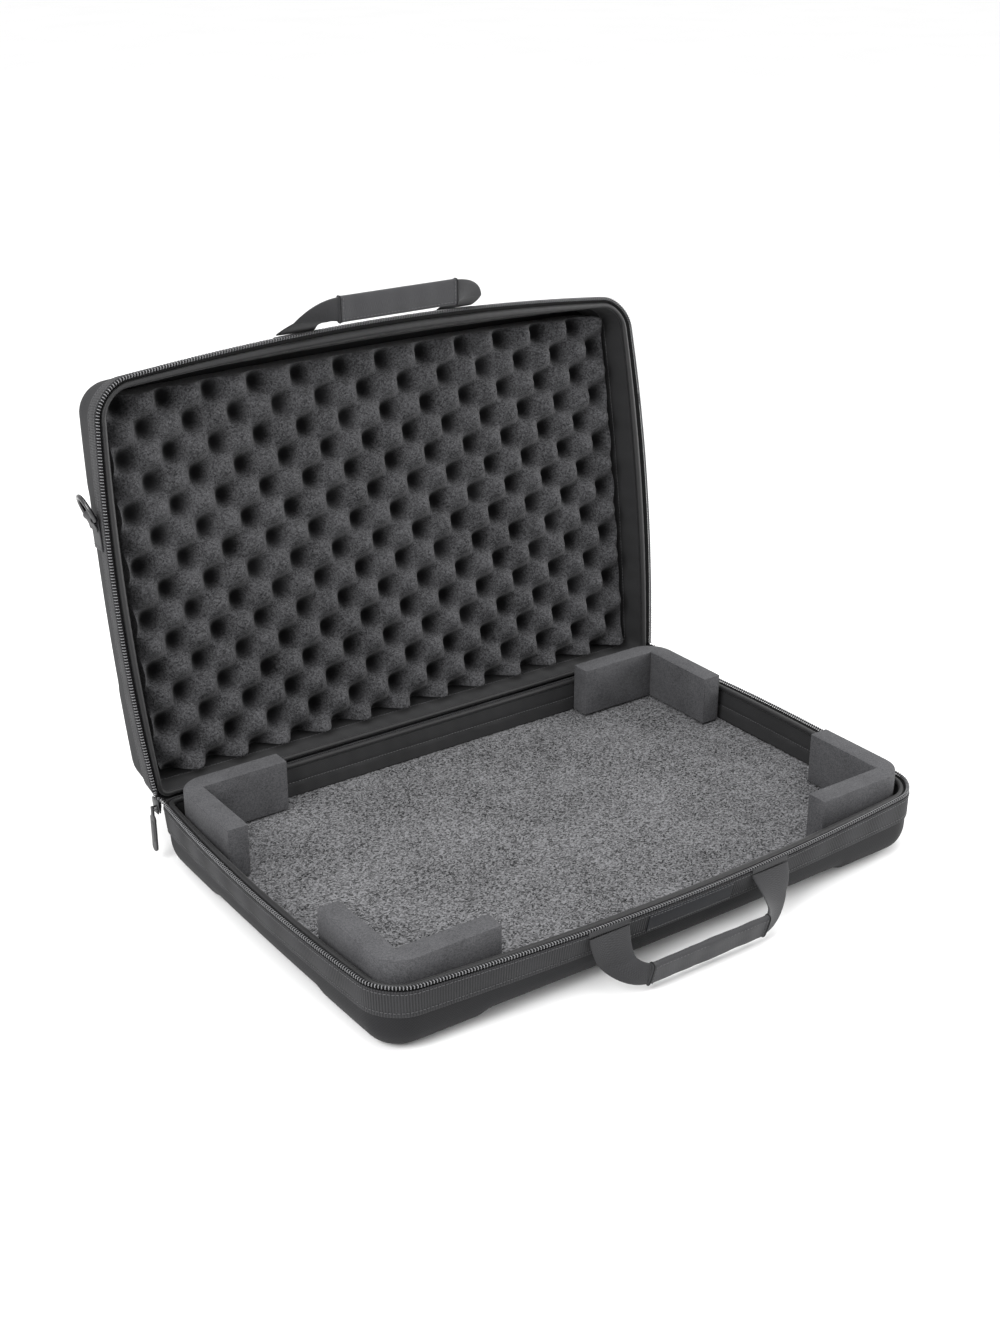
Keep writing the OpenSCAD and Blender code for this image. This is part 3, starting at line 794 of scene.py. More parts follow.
def template(obj: bpy.types.Object) -> bpy.types.Object:
    """Hides a small piece that is only copied, by taking it out of the scene."""
    bpy.context.scene.collection.objects.unlink(obj)
    return obj


@dataclass
class Workshop:
    """What every sub-assembly needs: the form, the row tree and the small templates."""

    form: CaseForm
    row: Row = field(default_factory=Row)

    def __post_init__(self) -> None:
        """Makes the templates."""
        self.turn = coil_turn(self.form)
        self.stitch = stitch(2.3, 0.75)

    def sew(self, name: str, rail: Points, body: str, pitch: float = 3.0) -> bpy.types.Object:
        """Sews a row of stitches along a rail in the case's frame, riding on a body."""
        seam = self.row.lay(name, rail, self.stitch, pitch, THREAD, wobble=0.25)
        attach(seam, body)
        LOG.info("sewed %s", name)
        return seam


def install(obj: bpy.types.Object, finish: Finish, body: str, slot: str,
            *replaced: str) -> bpy.types.Object:
    """Dresses a piece, makes it ride on a body and lets it stand for CAD nodes."""
    finish.dress(obj)
    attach(obj, body)
    if replaced:
        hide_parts(*replaced)
    LOG.info("built %s", obj.name)
    return obj


# ---------------------------------------------------------------- moulded halves


@dataclass
class CaseHalf:
    """The moulded shell of the tray or lid with all the cloth and zip on its rim."""

    shop: Workshop
    half: Half
    rib_pitch: float = 2.2
    rib_relief: float = 0.22
    coil_pitch: float = 2.4
    roll_r: float = 2.1

    def build(self) -> None:
        """Builds every piece of this half."""
        body = self.half.body
        install(self.cover(), COVER_CLOTH, body, "moulded_shell", f"{body}_shell")
        install(self.band(), BAND_CLOTH, body, "ribbed_band", f"{body}_edge_band")
        install(self.tape(), TAPE_CLOTH, body, "zip_tape", f"{body}_zip_tape")
        install(self.coil(), COIL_NYLON, body, "zip_coil", f"{body}_zip_coil")
        install(self.roll(), ROLL_CLOTH, body, "rim_roll", f"{body}_rim_roll")
        install(self.lining(), LINING_CLOTH, body, "lining", f"{body}_wall_lining")
        self.seams()

    def placed(self, obj: bpy.types.Object) -> bpy.types.Object:
        """Moves a piece from under the closing plane to its place."""
        return move_points(obj, self.half.place)

    def bottom_ring(self, e: float, d: float, count: int) -> Points:
        """A ring of the outer bottom, lowered at the corners by the lands."""
        half, f = self.half, self.half.form
        ring = half.ring(e, d, count)
        in_x = ease((np.abs(ring[:, 0]) - f.half_l + f.land_x) / 12 + 0.5)
        in_y = ease((np.abs(ring[:, 1]) - f.half_w + f.land_y) / 12 + 0.5)
        ring[:, 2] -= f.land_h * in_x * in_y * ease((d / half.depth - 0.5) * 2)
        return ring

    def cover(self) -> bpy.types.Object:
        """The moulded shell: inner face, rim, outer face and rounded bottom with its lands."""
        half, f = self.half, self.half.form
        inner_r = half.edge_r - 8
        inner_depth = half.depth - f.floor
        count = 480
        rings = []
        for t in np.radians([90, 60, 30, 0]):
            rings.append(half.ring(f.shell_in - inner_r * (1 - math.cos(t)),
                                   inner_depth - inner_r * (1 - math.sin(t)), count))
        for e, d in ((f.shell_in, f.shell_top), (f.shell_out, f.shell_top),
                     (f.shell_out, f.band_h - 1)):
            rings.append(half.ring(e, d, count))
        straight = half.depth - half.edge_r
        for d in np.linspace(f.band_h + 0.5, straight, 5)[:-1]:
            rings.append(self.bottom_ring(f.shell_out, d, count))
        for t in np.radians(np.linspace(0, 90, 13)):
            d = straight + half.edge_r * math.sin(t)
            rings.append(self.bottom_ring(f.shell_out - half.edge_r * (1 - math.cos(t)), d, count))
        for inset in (8, 16):
            rings.append(self.bottom_ring(f.shell_out - half.edge_r - inset, half.depth, count))
        for inset in np.linspace(18, 30, 7):
            flat = half.ring(f.shell_out - half.edge_r - inset, half.depth, count)
            low = self.bottom_ring(f.shell_out - half.edge_r - 16, half.depth, count)
            fall = 1 - float(ease(np.array((inset - 16) / 14)))
            flat[:, 2] += (low[:, 2] - half.ring(f.shell_out - half.edge_r - 16,
                                                 half.depth, count)[:, 2]) * fall
            rings.append(flat)
        return self.placed(loft(f"{half.body}_cover", np.stack(rings)))

    def band(self) -> bpy.types.Object:
        """The edge band: upright ribs all round, a stitched groove and a turned hem."""
        half, f = self.half, self.half.form
        outline = half.ring(f.band_out, 0, 900)
        around = np.linalg.norm(np.roll(outline, -1, axis=0) - outline, axis=1).sum()
        ribs = round(around / self.rib_pitch)
        count = ribs * 3
        relief = self.rib_relief * (np.cos(np.arange(count) * TAU / 3) - 1)
        hem = f.band_h - 4.5
        profile = [(f.shell_out, f.band_top, 0), (f.band_out - 0.3, f.band_top, 0),
                   (f.band_out, f.band_top + 0.5, 1), (f.band_out, 12, 1), (f.band_out, hem, 1),
                   (f.band_out - 0.45, hem + 0.7, 0.3), (f.band_out - 0.45, hem + 1.1, 0.3),
                   (f.band_out - 0.05, hem + 1.8, 1), (f.band_out, f.band_h - 0.6, 1),
                   (f.band_out - 0.4, f.band_h, 0.5), (f.shell_out, f.band_h, 0)]
        rings = []
        for e, d, ribbed in profile:
            plain = half.ring(e, d, count)
            inner = half.ring(e - 1, d, count)
            outward = plain - inner
            outward /= np.linalg.norm(outward, axis=1, keepdims=True)
            rings.append(plain + outward * (relief * ribbed)[:, None])
        return self.placed(loft(f"{half.body}_band", np.stack(rings), loop=True, sharp_deg=60))

    def zip_rail(self, e: float, d: float, inset: float = 0.0) -> Points:
        """The part of a ring that has a zip: from the left rear corner round to the right."""
        f = self.half.form
        ring = self.half.ring(e, d, 1600)
        keep = np.nonzero(ring[:, 1] < f.half_w - f.zip_end - inset)[0]
        return ring[keep[0]:keep[-1] + 1]

    def tape(self) -> bpy.types.Object:
        """The zip tape: a foot on the wall, a flap towards the roll, and a black core inside the
        coil that darkens the gaps between its turns as painted shade.
        """
        f = self.half.form
        foot = [(0.6, 3.0), (0.9, 4.2), (0.4, 5.4), (0.4, f.shell_top), (-0.4, f.shell_top),
                (-0.5, 6.0), (-3.3, 5.6), (-3.4, 4.9), (-0.6, 3.1)]
        middle = np.array([f.coil_w / 2 - f.tape_t, f.coil_end - f.coil_h / 2])
        # A black core along the coil's axis, so the gaps between the turns read dark: painted shade
        cord = oval(10, f.coil_w / 2 - 1.0, f.coil_h / 2 - 0.9, 0.8) + middle
        parts = []
        for name, section in (("foot", foot), ("cord", cord)):
            rails = [resample(self.zip_rail(e, d), 700, False) for e, d in section]
            parts.append(loft(name, np.stack(rails, axis=1), sharp_deg=70))
        return self.placed(join(f"{self.half.body}_tape", parts))

    def coil(self) -> bpy.types.Object:
        """The coil: one turn of monofilament after another along the rim."""
        f = self.half.form
        rail = self.zip_rail(f.coil_w / 2 - f.tape_t, f.coil_end - f.coil_h / 2)
        turns = self.shop.row.lay(f"{self.half.body}_coil", rail, self.shop.turn, self.coil_pitch,
                                  COIL_NYLON, skew=0.16)
        return self.placed(turns)

    def roll(self) -> bpy.types.Object:
        """The padded roll inside the rim, drawn in a little at each stitch of its seam."""
        f = self.half.form
        radius = self.roll_r
        middle_e = -f.tape_t / 2 - 0.5 - f.roll_d + radius
        middle_d = f.shell_top - radius - 1.3
        count = 900
        pinch = np.abs(np.sin(np.arange(count) * math.pi * 180 / count))
        swell = 1 + 0.035 * (pinch - 0.5)
        rings = []
        for t in np.arange(14) * TAU / 14:
            squash = 0.92 if math.cos(t) < 0 else 1.0
            here = self.half.ring(middle_e + radius * squash * math.cos(t),
                                  middle_d - radius * math.sin(t), count)
            core = self.half.ring(middle_e, middle_d, count)
            rings.append(core + (here - core) * swell[:, None])
        roll = loft(f"{self.half.body}_roll", np.stack(rings), loop=True, sharp_deg=180)
        return self.placed(roll)

    def lining(self) -> bpy.types.Object:
        """The wall lining, which puckers gently along its seam."""
        half, f = self.half, self.half.form
        count = 900
        top, end = f.shell_top - 1.2, half.lining_end
        seam = top + (end - top) * 0.52
        wave = 0.18 * np.sin(np.arange(count) * TAU * 90 / count)
        wave += 0.22 * np.sin(np.arange(count) * TAU * 23 / count + 1.3)
        rings = []
        for d, e, share in ((top, f.shell_in, 0), (top, f.lining_in, 0.3),
                            (seam - 4, f.lining_in, 1),
                            (seam - 0.8, f.lining_in + 0.1, 0.6), (seam, f.lining_in + 0.45, 0),
                            (seam + 0.8, f.lining_in + 0.1, 0.6), (seam + 4, f.lining_in, 1),
                            (end, f.lining_in + 0.2, 0.3), (end, f.shell_in, 0)):
            ring = half.ring(e, d, count)
            inner = half.ring(e - 1, d, count)
            rings.append(ring + (inner - ring) * (wave * share)[:, None])
        return self.placed(loft(f"{half.body}_lining", np.stack(rings), loop=True))

    def seams(self) -> None:
        """Stitches: two rows on the band and one on the lining."""
        half, f = self.half, self.half.form
        body = half.body
        for name, e, d in (("band_hem_stitches", f.band_out - 0.25, f.band_h - 3.6),
                           ("band_top_stitches", f.band_out + 0.05, f.band_top + 2.0),
                           ("lining_stitches", f.lining_in + 0.2,
                            f.shell_top - 1.2 + (half.lining_end - f.shell_top + 1.2) * 0.52)):
            ring = half.ring(e, d, 900)
            self.shop.sew(f"{body}_{name}", half.place(np.vstack([ring, ring[:1]])), body)


# ---------------------------------------------------------------- tray and lid contents


def clamped_sheet(half: Half, e: float, d: float, step: float) -> tuple[Points, int, int]:
    """A grid of points that fills an outline, square inside and rounded at the corners.

    Args:
        half: The half whose outline it fills.
        e: Offset of the outline from the zip row.
        d: Distance from the closing plane.
        step: Grid spacing in millimetres.

    Returns:
        The grid's points as rows and columns of X and Y, and its row and column counts.
    """
    f = half.form
    edge = half.outline(e - half.draft * d / half.depth, d, 2400)
    angle = np.arctan2(edge[:, 1], edge[:, 0])
    reach = np.linalg.norm(edge, axis=1)
    order = np.argsort(angle)
    nx = int(2 * (f.half_l + e) / step) + 1
    ny = int((2 * (f.half_w + e) + f.front_bow) / step) + 1
    x = np.linspace(-1, 1, nx) * np.abs(edge[:, 0]).max()
    y = np.linspace(edge[:, 1].min(), edge[:, 1].max(), ny)
    grid = np.stack(np.meshgrid(x, y, indexing="xy"), axis=-1)
    toward = np.arctan2(grid[..., 1], grid[..., 0])
    limit = np.interp(toward, angle[order], reach[order], period=TAU)
    size = np.linalg.norm(grid, axis=-1)
    grid *= np.minimum(1, limit / np.maximum(size, 1e-6))[..., None]
    return grid, ny, nx


def slab(name: str, grid: Points, top: Points, bottom: float, skirt: int) -> bpy.types.Object:
    """A closed slab with a relief on top.

    Args:
        name: The object's name.
        grid: Rows and columns of X and Y.
        top: The height at each grid point.
        bottom: The height of the flat underside.
        skirt: How many steps the sides are cut into.

    Returns:
        The slab, in the frame that its points are given in.
    """
    ny, nx, _ = grid.shape
    points = np.concatenate([grid, top[..., None]], axis=-1).reshape(-1, 3)
    i, j = np.meshgrid(np.arange(ny - 1), np.arange(nx - 1), indexing="ij")
    base = i * nx + j
    faces = np.stack([base, base + 1, base + nx + 1, base + nx], axis=-1).reshape(-1, 4).tolist()
    rim = list(range(nx)) + [k * nx + nx - 1 for k in range(1, ny)]
    rim += [(ny - 1) * nx + k for k in range(nx - 2, -1, -1)]
    rim += [k * nx for k in range(ny - 2, 0, -1)]
    loop = list(rim)
    edge = points[rim]
    for step in range(1, skirt + 1):
        level = edge.copy()
        level[:, 2] += (bottom - edge[:, 2]) * step / skirt
        start = len(points)
        points = np.vstack([points, level])
        fresh = list(range(start, start + len(rim)))
        faces += [[loop[k], fresh[k], fresh[(k + 1) % len(rim)], loop[(k + 1) % len(rim)]]
                  for k in range(len(rim))]
        loop = fresh
    faces.append(loop[::-1])
    mesh = bpy.data.meshes.new(name)
    mesh.from_pydata((points * MM).tolist(), [], faces)
    obj = new_object(name, mesh)
    work_on(obj, lambda bm: bmesh.ops.remove_doubles(bm, verts=bm.verts, dist=0.02 * MM))
    work_on(obj, lambda bm: bmesh.ops.dissolve_degenerate(bm, edges=bm.edges, dist=0.01 * MM))
    return finish_mesh(obj, 60)


@dataclass
class WaveFoam:
    """The convoluted foam sheet in the lid, its face shaped by Geometry Nodes."""

    half: Half
    thickness: float = 50.0
    valley: float = 23.0
    pitch_x: float = 40.0
    pitch_y: float = 43.0
    start_x: float = 11.0
    start_y: float = -147.5
    step: float = 2.2

    def tree(self) -> tuple[bpy.types.NodeTree, dict[str, str]]:
        """Builds the tree that sinks the face into rows of staggered dimples.

        Returns:
            The tree, and each input's name with its socket identifier.
        """
        tree = bpy.data.node_groups.new("convoluted_face", "GeometryNodeTree")
        face = tree.interface
        face.new_socket("Sheet", in_out="INPUT", socket_type="NodeSocketGeometry")
        names = {}
        for name in ("Pitch X", "Pitch Y", "Start X", "Start Y", "Valley"):
            socket = face.new_socket(name, in_out="INPUT", socket_type="NodeSocketFloat")
            names[name] = socket.identifier
        finish = face.new_socket("Finish", in_out="INPUT", socket_type="NodeSocketMaterial")
        names["Finish"] = finish.identifier
        face.new_socket("Foam", in_out="OUTPUT", socket_type="NodeSocketGeometry")
        given = add(tree, "NodeGroupInput").outputs
        here = add(tree, "GeometryNodeInputPosition")
        parts = add(tree, "ShaderNodeSeparateXYZ", {0: here.outputs[0]})
        waves = []
        for axis, letter in ((0, "X"), (1, "Y")):
            start, pitch = given[f"Start {letter}"], given[f"Pitch {letter}"]
            moved = add(tree, "ShaderNodeMath", {0: parts.outputs[axis], 1: start},
                        operation="SUBTRACT")
            turns = add(tree, "ShaderNodeMath", {0: moved.outputs[0], 1: pitch},
                        operation="DIVIDE")
            angle = add(tree, "ShaderNodeMath", {0: turns.outputs[0], 1: TAU}, operation="MULTIPLY")
            waves.append(add(tree, "ShaderNodeMath", {0: angle.outputs[0]}, operation="COSINE"))
        product = add(tree, "ShaderNodeMath", {0: waves[0].outputs[0], 1: waves[1].outputs[0]},
                      operation="MULTIPLY")
        depth = add(tree, "ShaderNodeMath", {0: product.outputs[0], 1: 0.5, 2: 0.5},
                    operation="MULTIPLY_ADD")
        narrow = add(tree, "ShaderNodeMath", {0: depth.outputs[0], 1: 1.2}, operation="POWER")
        scaled = add(tree, "ShaderNodeMath", {0: narrow.outputs[0], 1: given["Valley"]},
                     operation="MULTIPLY")
        share = add(tree, "GeometryNodeInputNamedAttribute", {"Name": "on_face"}, data_type="FLOAT")
        sunk = add(tree, "ShaderNodeMath", {0: scaled.outputs[0], 1: share.outputs[0]},
                   operation="MULTIPLY")
        offset = add(tree, "ShaderNodeCombineXYZ", {2: sunk.outputs[0]})
        # The dimple's depth on the face, stored for the foam material's painted shade in the
        # dimples
        pit = add(tree, "ShaderNodeMath", {0: narrow.outputs[0], 1: share.outputs[0]},
                  operation="MULTIPLY")
        noted = add(tree, "GeometryNodeStoreNamedAttribute",
                    {"Geometry": given["Sheet"], "Name": "pit", "Value": pit.outputs[0]},
                    data_type="FLOAT", domain="POINT")
        shaped = add(tree, "GeometryNodeSetPosition", {"Geometry": noted.outputs[0],
                                                       "Offset": offset.outputs[0]})
        real = add(tree, "GeometryNodeRealizeInstances", {0: shaped.outputs[0]})
        dressed = add(tree, "GeometryNodeSetMaterial", {"Geometry": real.outputs[0],
                                                        "Material": given["Finish"]})
        add(tree, "NodeGroupOutput", {0: dressed.outputs[0]})
        return tree, names

    def round_back(self, points: Points) -> Points:
        """Draws the back edge in, so that it lies inside the shell's rounded inner edge."""
        half, f = self.half, self.half.form
        radius = half.edge_r - 8
        deep = clamp01((points[:, 2] - (half.depth - f.floor - radius)) / radius)
        inset = radius * (1 - np.sqrt(1 - deep ** 2))
        out = points.copy()
        out[:, 0] *= 1 - inset / f.half_l
        out[:, 1] *= 1 - inset / f.half_w
        return out

    def build(self) -> None:
        """Makes the flat sheet, shapes its face and seats it in the lid."""
        half, f = self.half, self.half.form
        back = half.depth - f.floor
        face = back - self.thickness
        grid, ny, nx = clamped_sheet(half, f.lining_in - 1.5, back, self.step)
        rng = np.random.default_rng(11)
        pores = rng.normal(0, 0.16, (ny, nx))
        sheet = slab("lid_wave_foam_sheet", grid, face + np.abs(pores), back - 0.4, 16)
        move_points(sheet, self.round_back)
        flat = np.empty(len(sheet.data.vertices) * 3)
        sheet.data.vertices.foreach_get("co", flat)
        height = flat.reshape(-1, 3)[:, 2] / MM
        share = clamp01((back - height) / (back - face))
        layer = sheet.data.attributes.new("on_face", "FLOAT", "POINT")
        layer.data.foreach_set("value", share.astype(np.float32))
        tree, names = self.tree()
        modifier = sheet.modifiers.new("face", "NODES")
        modifier.node_group = tree
        values = {"Pitch X": self.pitch_x * MM, "Pitch Y": self.pitch_y * MM,
                  "Start X": self.start_x * MM, "Start Y": self.start_y * MM,
                  "Valley": self.valley * MM, "Finish": WAVE_FOAM.build()}
        for key, value in values.items():
            modifier[names[key]] = value
        foam = settle(sheet, "lid_wave_foam")
        foam.data.attributes.remove(foam.data.attributes["on_face"])
        move_points(foam, lambda p: p * np.array([1, 1, -1]))
        move_points(foam, half.place)
        finish_mesh(foam, 80)
        install(foam, WAVE_FOAM, half.body, "convoluted_foam", "lid_foam")


@dataclass
class Floor:
    """The foam board and the loop-pile carpet on it."""

    half: Half
    thickness: float = 4.0
    step: float = 1.9
    pile: float = 0.9

    def build(self, nodes: dict[str, bpy.types.Object]) -> None:
        """Makes the carpet's loops and dresses the CAD board under it."""
        half, f = self.half, self.half.form
        d = f.rim_h + self.thickness
        grid, ny, nx = clamped_sheet(half, f.shell_in - 0.4, d, self.step)
        rng = np.random.default_rng(5)
        loops = rng.random((ny, nx)) ** 1.5 * self.pile
        loops += 0.35 * (1 + np.sin(grid[..., 0] / 31) * np.sin(grid[..., 1] / 27))
        carpet = slab("floor_carpet_pile", grid, -0.05 - loops, -self.thickness, 2)
        carpet.data.set_sharp_from_angle(angle=math.pi)
        install(carpet, CARPET, half.body, "loop_carpet", "floor_carpet")
        BOARD_FOAM.dress(nodes["floor_board"])


@dataclass
class CornerBlock:
    """One L-shaped block, cut from two strips of foam glued at the mitre."""

    form: CaseForm
    corner: Corner
    arm: float = 93.0
    thick: float = 17.5
    height: float = 45.0
    hook: float = 1.2
    outer_r: float = 24.0
    bevel: float = 1.3

    def outline(self) -> Points:
        """The block in plan for the corner at +X, +Y, with a small cleft at the inner mitre."""
        f = self.form
        hang = f.tape_t / 2 + 0.5 + f.roll_d + 0.6
        at = np.array([f.half_l - hang, f.half_w - hang])
        arm, thick, r = self.arm, self.thick, self.outer_r
        turn = np.radians(np.linspace(0, 90, 9))
        arc = np.stack([-r + r * np.cos(turn), -r + r * np.sin(turn)], axis=1)
        cleft = [(-thick - 1.1, -thick - 0.2), (-thick + 0.5, -thick + 0.5),
                 (-thick - 0.2, -thick - 1.1)]
        return at + np.vstack([[(0, -arm)], arc, [(-arm, 0), (-arm, -thick)], cleft,
                               [(-thick, -arm)]])

    def build(self, nodes: dict[str, bpy.types.Object]) -> None:
        """Makes the block and dresses its strip of hook tape."""
        name = self.corner.name.lower()
        sx, sy = self.corner.value
        block = plate(f"foam_block_{name}", self.outline(), self.hook, self.height, self.bevel, 3)
        work_on(block, lambda bm: bmesh.ops.triangulate(bm, faces=bm.faces))
        for _ in range(2):
            work_on(block, lambda bm: bmesh.ops.subdivide_edges(
                bm, edges=[e for e in bm.edges if e.calc_length() > 12 * MM], cuts=1))
        move_points(block, self.soften)
        move_points(block, lambda p: p * np.array([sx, sy, 1]))
        finish_mesh(block, 60)
        install(block, BLOCK_FOAM, f"block_{name}", "block_foam", f"corner_block_{name}")
        HOOK_TAPE.dress(nodes[f"hook_strip_{name}"])

    def soften(self, points: Points) -> Points:
        """Hand-cut foam: faces wander by a fraction of a millimetre, always inward."""
        out = points.copy()
        wander = 0.25 * np.sin(points[:, 0] / 17 + 1) * np.sin(points[:, 2] / 13)
        wander += 0.25 * np.sin(points[:, 1] / 15) * np.cos(points[:, 2] / 11 + 2)
        centre = points[:, :2].mean(axis=0)
        inward = centre - points[:, :2]
        inward /= np.linalg.norm(inward, axis=1, keepdims=True)
        out[:, :2] += inward * (np.abs(wander) * 0.8)[:, None]
        top = points[:, 2] > self.height - 0.2
        out[top, 2] -= 0.2 * (1 + np.sin(points[top, 0] / 23) * np.cos(points[top, 1] / 19))
        return out


# ---------------------------------------------------------------- handles


@dataclass
class Handle:
    """A webbing handle with a sewn sleeve, drawn in its own plane.

    Local X runs along the case, Y from the roots to the grip and Z towards the case.

    Attributes:
        shop: The shared templates.
        half: The half that it is sewn to.
        body: The CAD body of the handle.
        hang: Angle that it stands out from straight down, in degrees.
        twist: Turn of the grip about its own length, in degrees.
        grip_r: Distance of the grip's middle from the roots.
        grip_z: Distance of the grip's middle from the handle's plane.
        face: Which side of the grip carries the seam, 1 or -1.
    """

    shop: Workshop
    half: Half
    body: str
    hang: float
    twist: float
    grip_r: float
    grip_z: float
    face: int
    span: float = 153.0
    webbing_w: float = 36.0
    webbing_t: float = 2.2
    sleeve_l: float = 112.0
    sleeve_h: float = 21.0
    sleeve_t: float = 5.6
    crease: float = 7.0
    root_drop: float = 10.5
    root_y: float = -182.91

    def to_case(self, points: Points) -> Points:
        """Takes points from the handle's own plane to its place on the open case."""
        f = self.half.form
        lean = math.radians(self.hang)
        lid = self.half.body == "lid"
        root_z = f.rim_h + (self.root_drop if lid else -self.root_drop)
        y, z = points[:, 1], points[:, 2]
        out = np.stack([points[:, 0],
                        self.root_y - y * math.sin(lean) + z * math.cos(lean),
                        root_z - y * math.cos(lean) - z * math.sin(lean)], axis=1)
        return open_lid(f, out) if lid else out

    def on_grip(self, x: Points, across: Points, out: Points) -> Points:
        """Points on the twisted grip.

        Args:
            x: Places along the case.
            across: Distance from the grip's middle, away from the roots positive.
            out: Distance from the grip's middle plane, towards the case positive.

        Returns:
            The points in the handle's own frame.
        """
        c, s = math.cos(math.radians(self.twist)), math.sin(math.radians(self.twist))
        return np.stack(np.broadcast_arrays(x, self.grip_r + across * c - out * s,
                                            self.grip_z + across * s + out * c), axis=-1)

    def leg(self, side: Side) -> bpy.types.Object:
        """One end of the webbing: flat at its root, creased and twisted into the sleeve."""
        near, far = self.span / 2 - self.webbing_w / 2, self.span / 2 + self.webbing_w / 2
        grip = self.sleeve_l / 2 - 2
        low, high = self.on_grip(np.array([grip] * 2), np.array([-0.47, 0.47]) * self.sleeve_h,
                                 np.zeros(2))
        count = 64
        inner = bezier([(near, -0.6, 0), (near + 4, low[1] * 0.5, 0),
                        (near + 9, low[1] * 0.9 + 1, low[2] * 0.6), low], count)
        outer = bezier([(far, -0.6, 0), (far + 1, high[1] * 0.45, 0),
                        (far - 14, high[1] * 1.0, high[2] * 0.7), high], count)
        section = oval(40, 0.5, 0.5, 0.5)
        across = section[:, :1] + 0.5
        rings = []
        for k in range(count):
            v = k / (count - 1)
            turn = math.radians(self.twist) * float(ease(np.array(v * 1.1 - 0.1)))
            normal = np.array([0, -math.sin(turn), math.cos(turn)])
            fold = float(ease(np.array((v - 0.45) / 0.5)))
            thick = self.webbing_t * (0.75 + 1.15 * fold)
            at = 0.62 - 0.26 * across
            tent = np.minimum(v / at, (1 - v) / (1 - at))
            dent = self.crease * tent * (0.45 + 0.55 * across) * (1 - 0.25 * across)
            rings.append(inner[k] + across * (outer[k] - inner[k])
                         + (section[:, 1:] * thick + dent) * normal)
        piece = loft(f"{self.body}_leg_{side.name.lower()}", np.stack(rings), sharp_deg=70)
        return move_points(piece, lambda p: p * np.array([side.value, 1, 1]))

    def sleeve(self) -> bpy.types.Object:
        """The sleeve: a flat tube of cloth that wrinkles a little."""
        section = oval(56, self.sleeve_h / 2, self.sleeve_t / 2, 0.5)
        phases = np.random.default_rng(len(self.body)).random(6) * TAU
        half_l = self.sleeve_l / 2
        inner = np.linspace(-half_l + 0.5, half_l - 0.5, 90)
        stations = np.concatenate([[-half_l], inner, [half_l]])
        rings = []
        for x in stations:
            end = abs(x) / half_l
            size = 0.93 if end > 0.999 else 1 + 0.05 * max(end - 0.94, 0) / 0.06
            ripple = sum(0.12 * math.sin(x / wave + phase)
                         for wave, phase in zip((3.1, 4.7, 6.3, 9.5, 14, 23), phases))
            out = section[:, 1] * (size + ripple / self.sleeve_t * 2)
            rings.append(self.on_grip(np.full(56, x), section[:, 0] * size, out))
        return loft(f"{self.body}_grip", np.stack(rings), sharp_deg=60)

    def bindings(self) -> bpy.types.Object:
        """The black binding round each end of the sleeve."""
        parts = []
        for side in Side:
            rings = []
            for t in np.arange(8) * TAU / 8:
                section = oval(56, self.sleeve_h / 2 + 0.35 + 0.3 * math.cos(t),
                               self.sleeve_t / 2 + 0.35 + 0.3 * math.cos(t), 0.5)
                x = side.value * (self.sleeve_l / 2 - 0.6 + 0.6 * math.sin(t))
                rings.append(self.on_grip(np.full(56, x), section[:, 0], section[:, 1]))
            parts.append(loft(f"binding_{side.name.lower()}", np.stack(rings), loop=True))
        return join(f"{self.body}_bindings", parts)

    def core(self) -> bpy.types.Object:
        """The folded webbing inside the sleeve, which shows as a dark step at its ends."""
        x = np.linspace(-0.5, 0.5, 12) * (self.sleeve_l + 3)
        turn = math.radians(self.twist)
        return sweep(f"{self.body}_core", self.on_grip(x, np.zeros(12), np.zeros(12)),
                     oval(24, self.sleeve_h / 2 - 1.5, self.webbing_t * 0.8, 0.6),
                     (0, -math.sin(turn), math.cos(turn)))

    def seams(self) -> None:
        """Stitches along the sleeve's open edge and across its two ends."""
        half_l = self.sleeve_l / 2
        out = self.face * (self.sleeve_t / 2 + 0.05)
        x = np.linspace(-half_l + 3, half_l - 3, 60)
        edge = self.on_grip(x, np.full(60, 2.6 - self.sleeve_h / 2), np.full(60, out * 0.87))
        self.shop.sew(f"{self.body}_edge_stitches", self.to_case(edge), self.body, 3.2)
        for side in Side:
            line = self.on_grip(np.full(12, side.value * (half_l - 3)),
                                np.linspace(2.5, -2.5, 12) * (self.sleeve_h / 2 - 2.5) / 2.5,
                                np.full(12, out))
            self.shop.sew(f"{self.body}_end_stitches_{side.name.lower()}", self.to_case(line),
                          self.body, 3.0)

    def roots(self) -> bpy.types.Object:
        """The webbing's sewn ends, lying on the leaning edge band."""
        half = self.half
        height, gap = 4.5, 0.3
        off = self.webbing_t / 2 + 0.6
        lid = half.body == "lid"
        top = self.root_drop + off if lid else self.root_drop - off - height
        pieces = []
        for side in Side:
            x = side.value * self.span / 2 + np.linspace(-0.5, 0.5, 15) * self.webbing_w
            section = oval(16, height / 2, 0.5, 0.5)
            rings = []
            for xi in x:
                d = top + height / 2 + section[:, 0]
                y = np.array([half.front(xi, di) for di in d]) - gap - 0.5 - section[:, 1]
                rings.append(np.column_stack([np.full(16, xi), y, -d]))
            pieces.append(loft(f"root_{side.name.lower()}", np.stack(rings)))
        return move_points(join(f"{self.body}_roots", pieces), half.place)

    def build(self) -> None:
        """Builds the strap, the sleeve, their stitches and the sewn ends on the band."""
        strap = join(f"{self.body}_strap", [self.leg(Side.LEFT), self.leg(Side.RIGHT), self.core()])
        move_points(strap, self.to_case)
        install(strap, STRAP, self.body, "webbing", f"{self.body}_webbing")
        sleeve = move_points(self.sleeve(), self.to_case)
        install(sleeve, SLEEVE_CLOTH, self.body, "sleeve_cloth", f"{self.body}_sleeve")
        bindings = BINDING.dress(move_points(self.bindings(), self.to_case))
        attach(bindings, self.body)
        install(self.roots(), STRAP, self.half.body, "webbing", f"{self.body}_anchors")
        self.seams()


# ---------------------------------------------------------------- small fittings


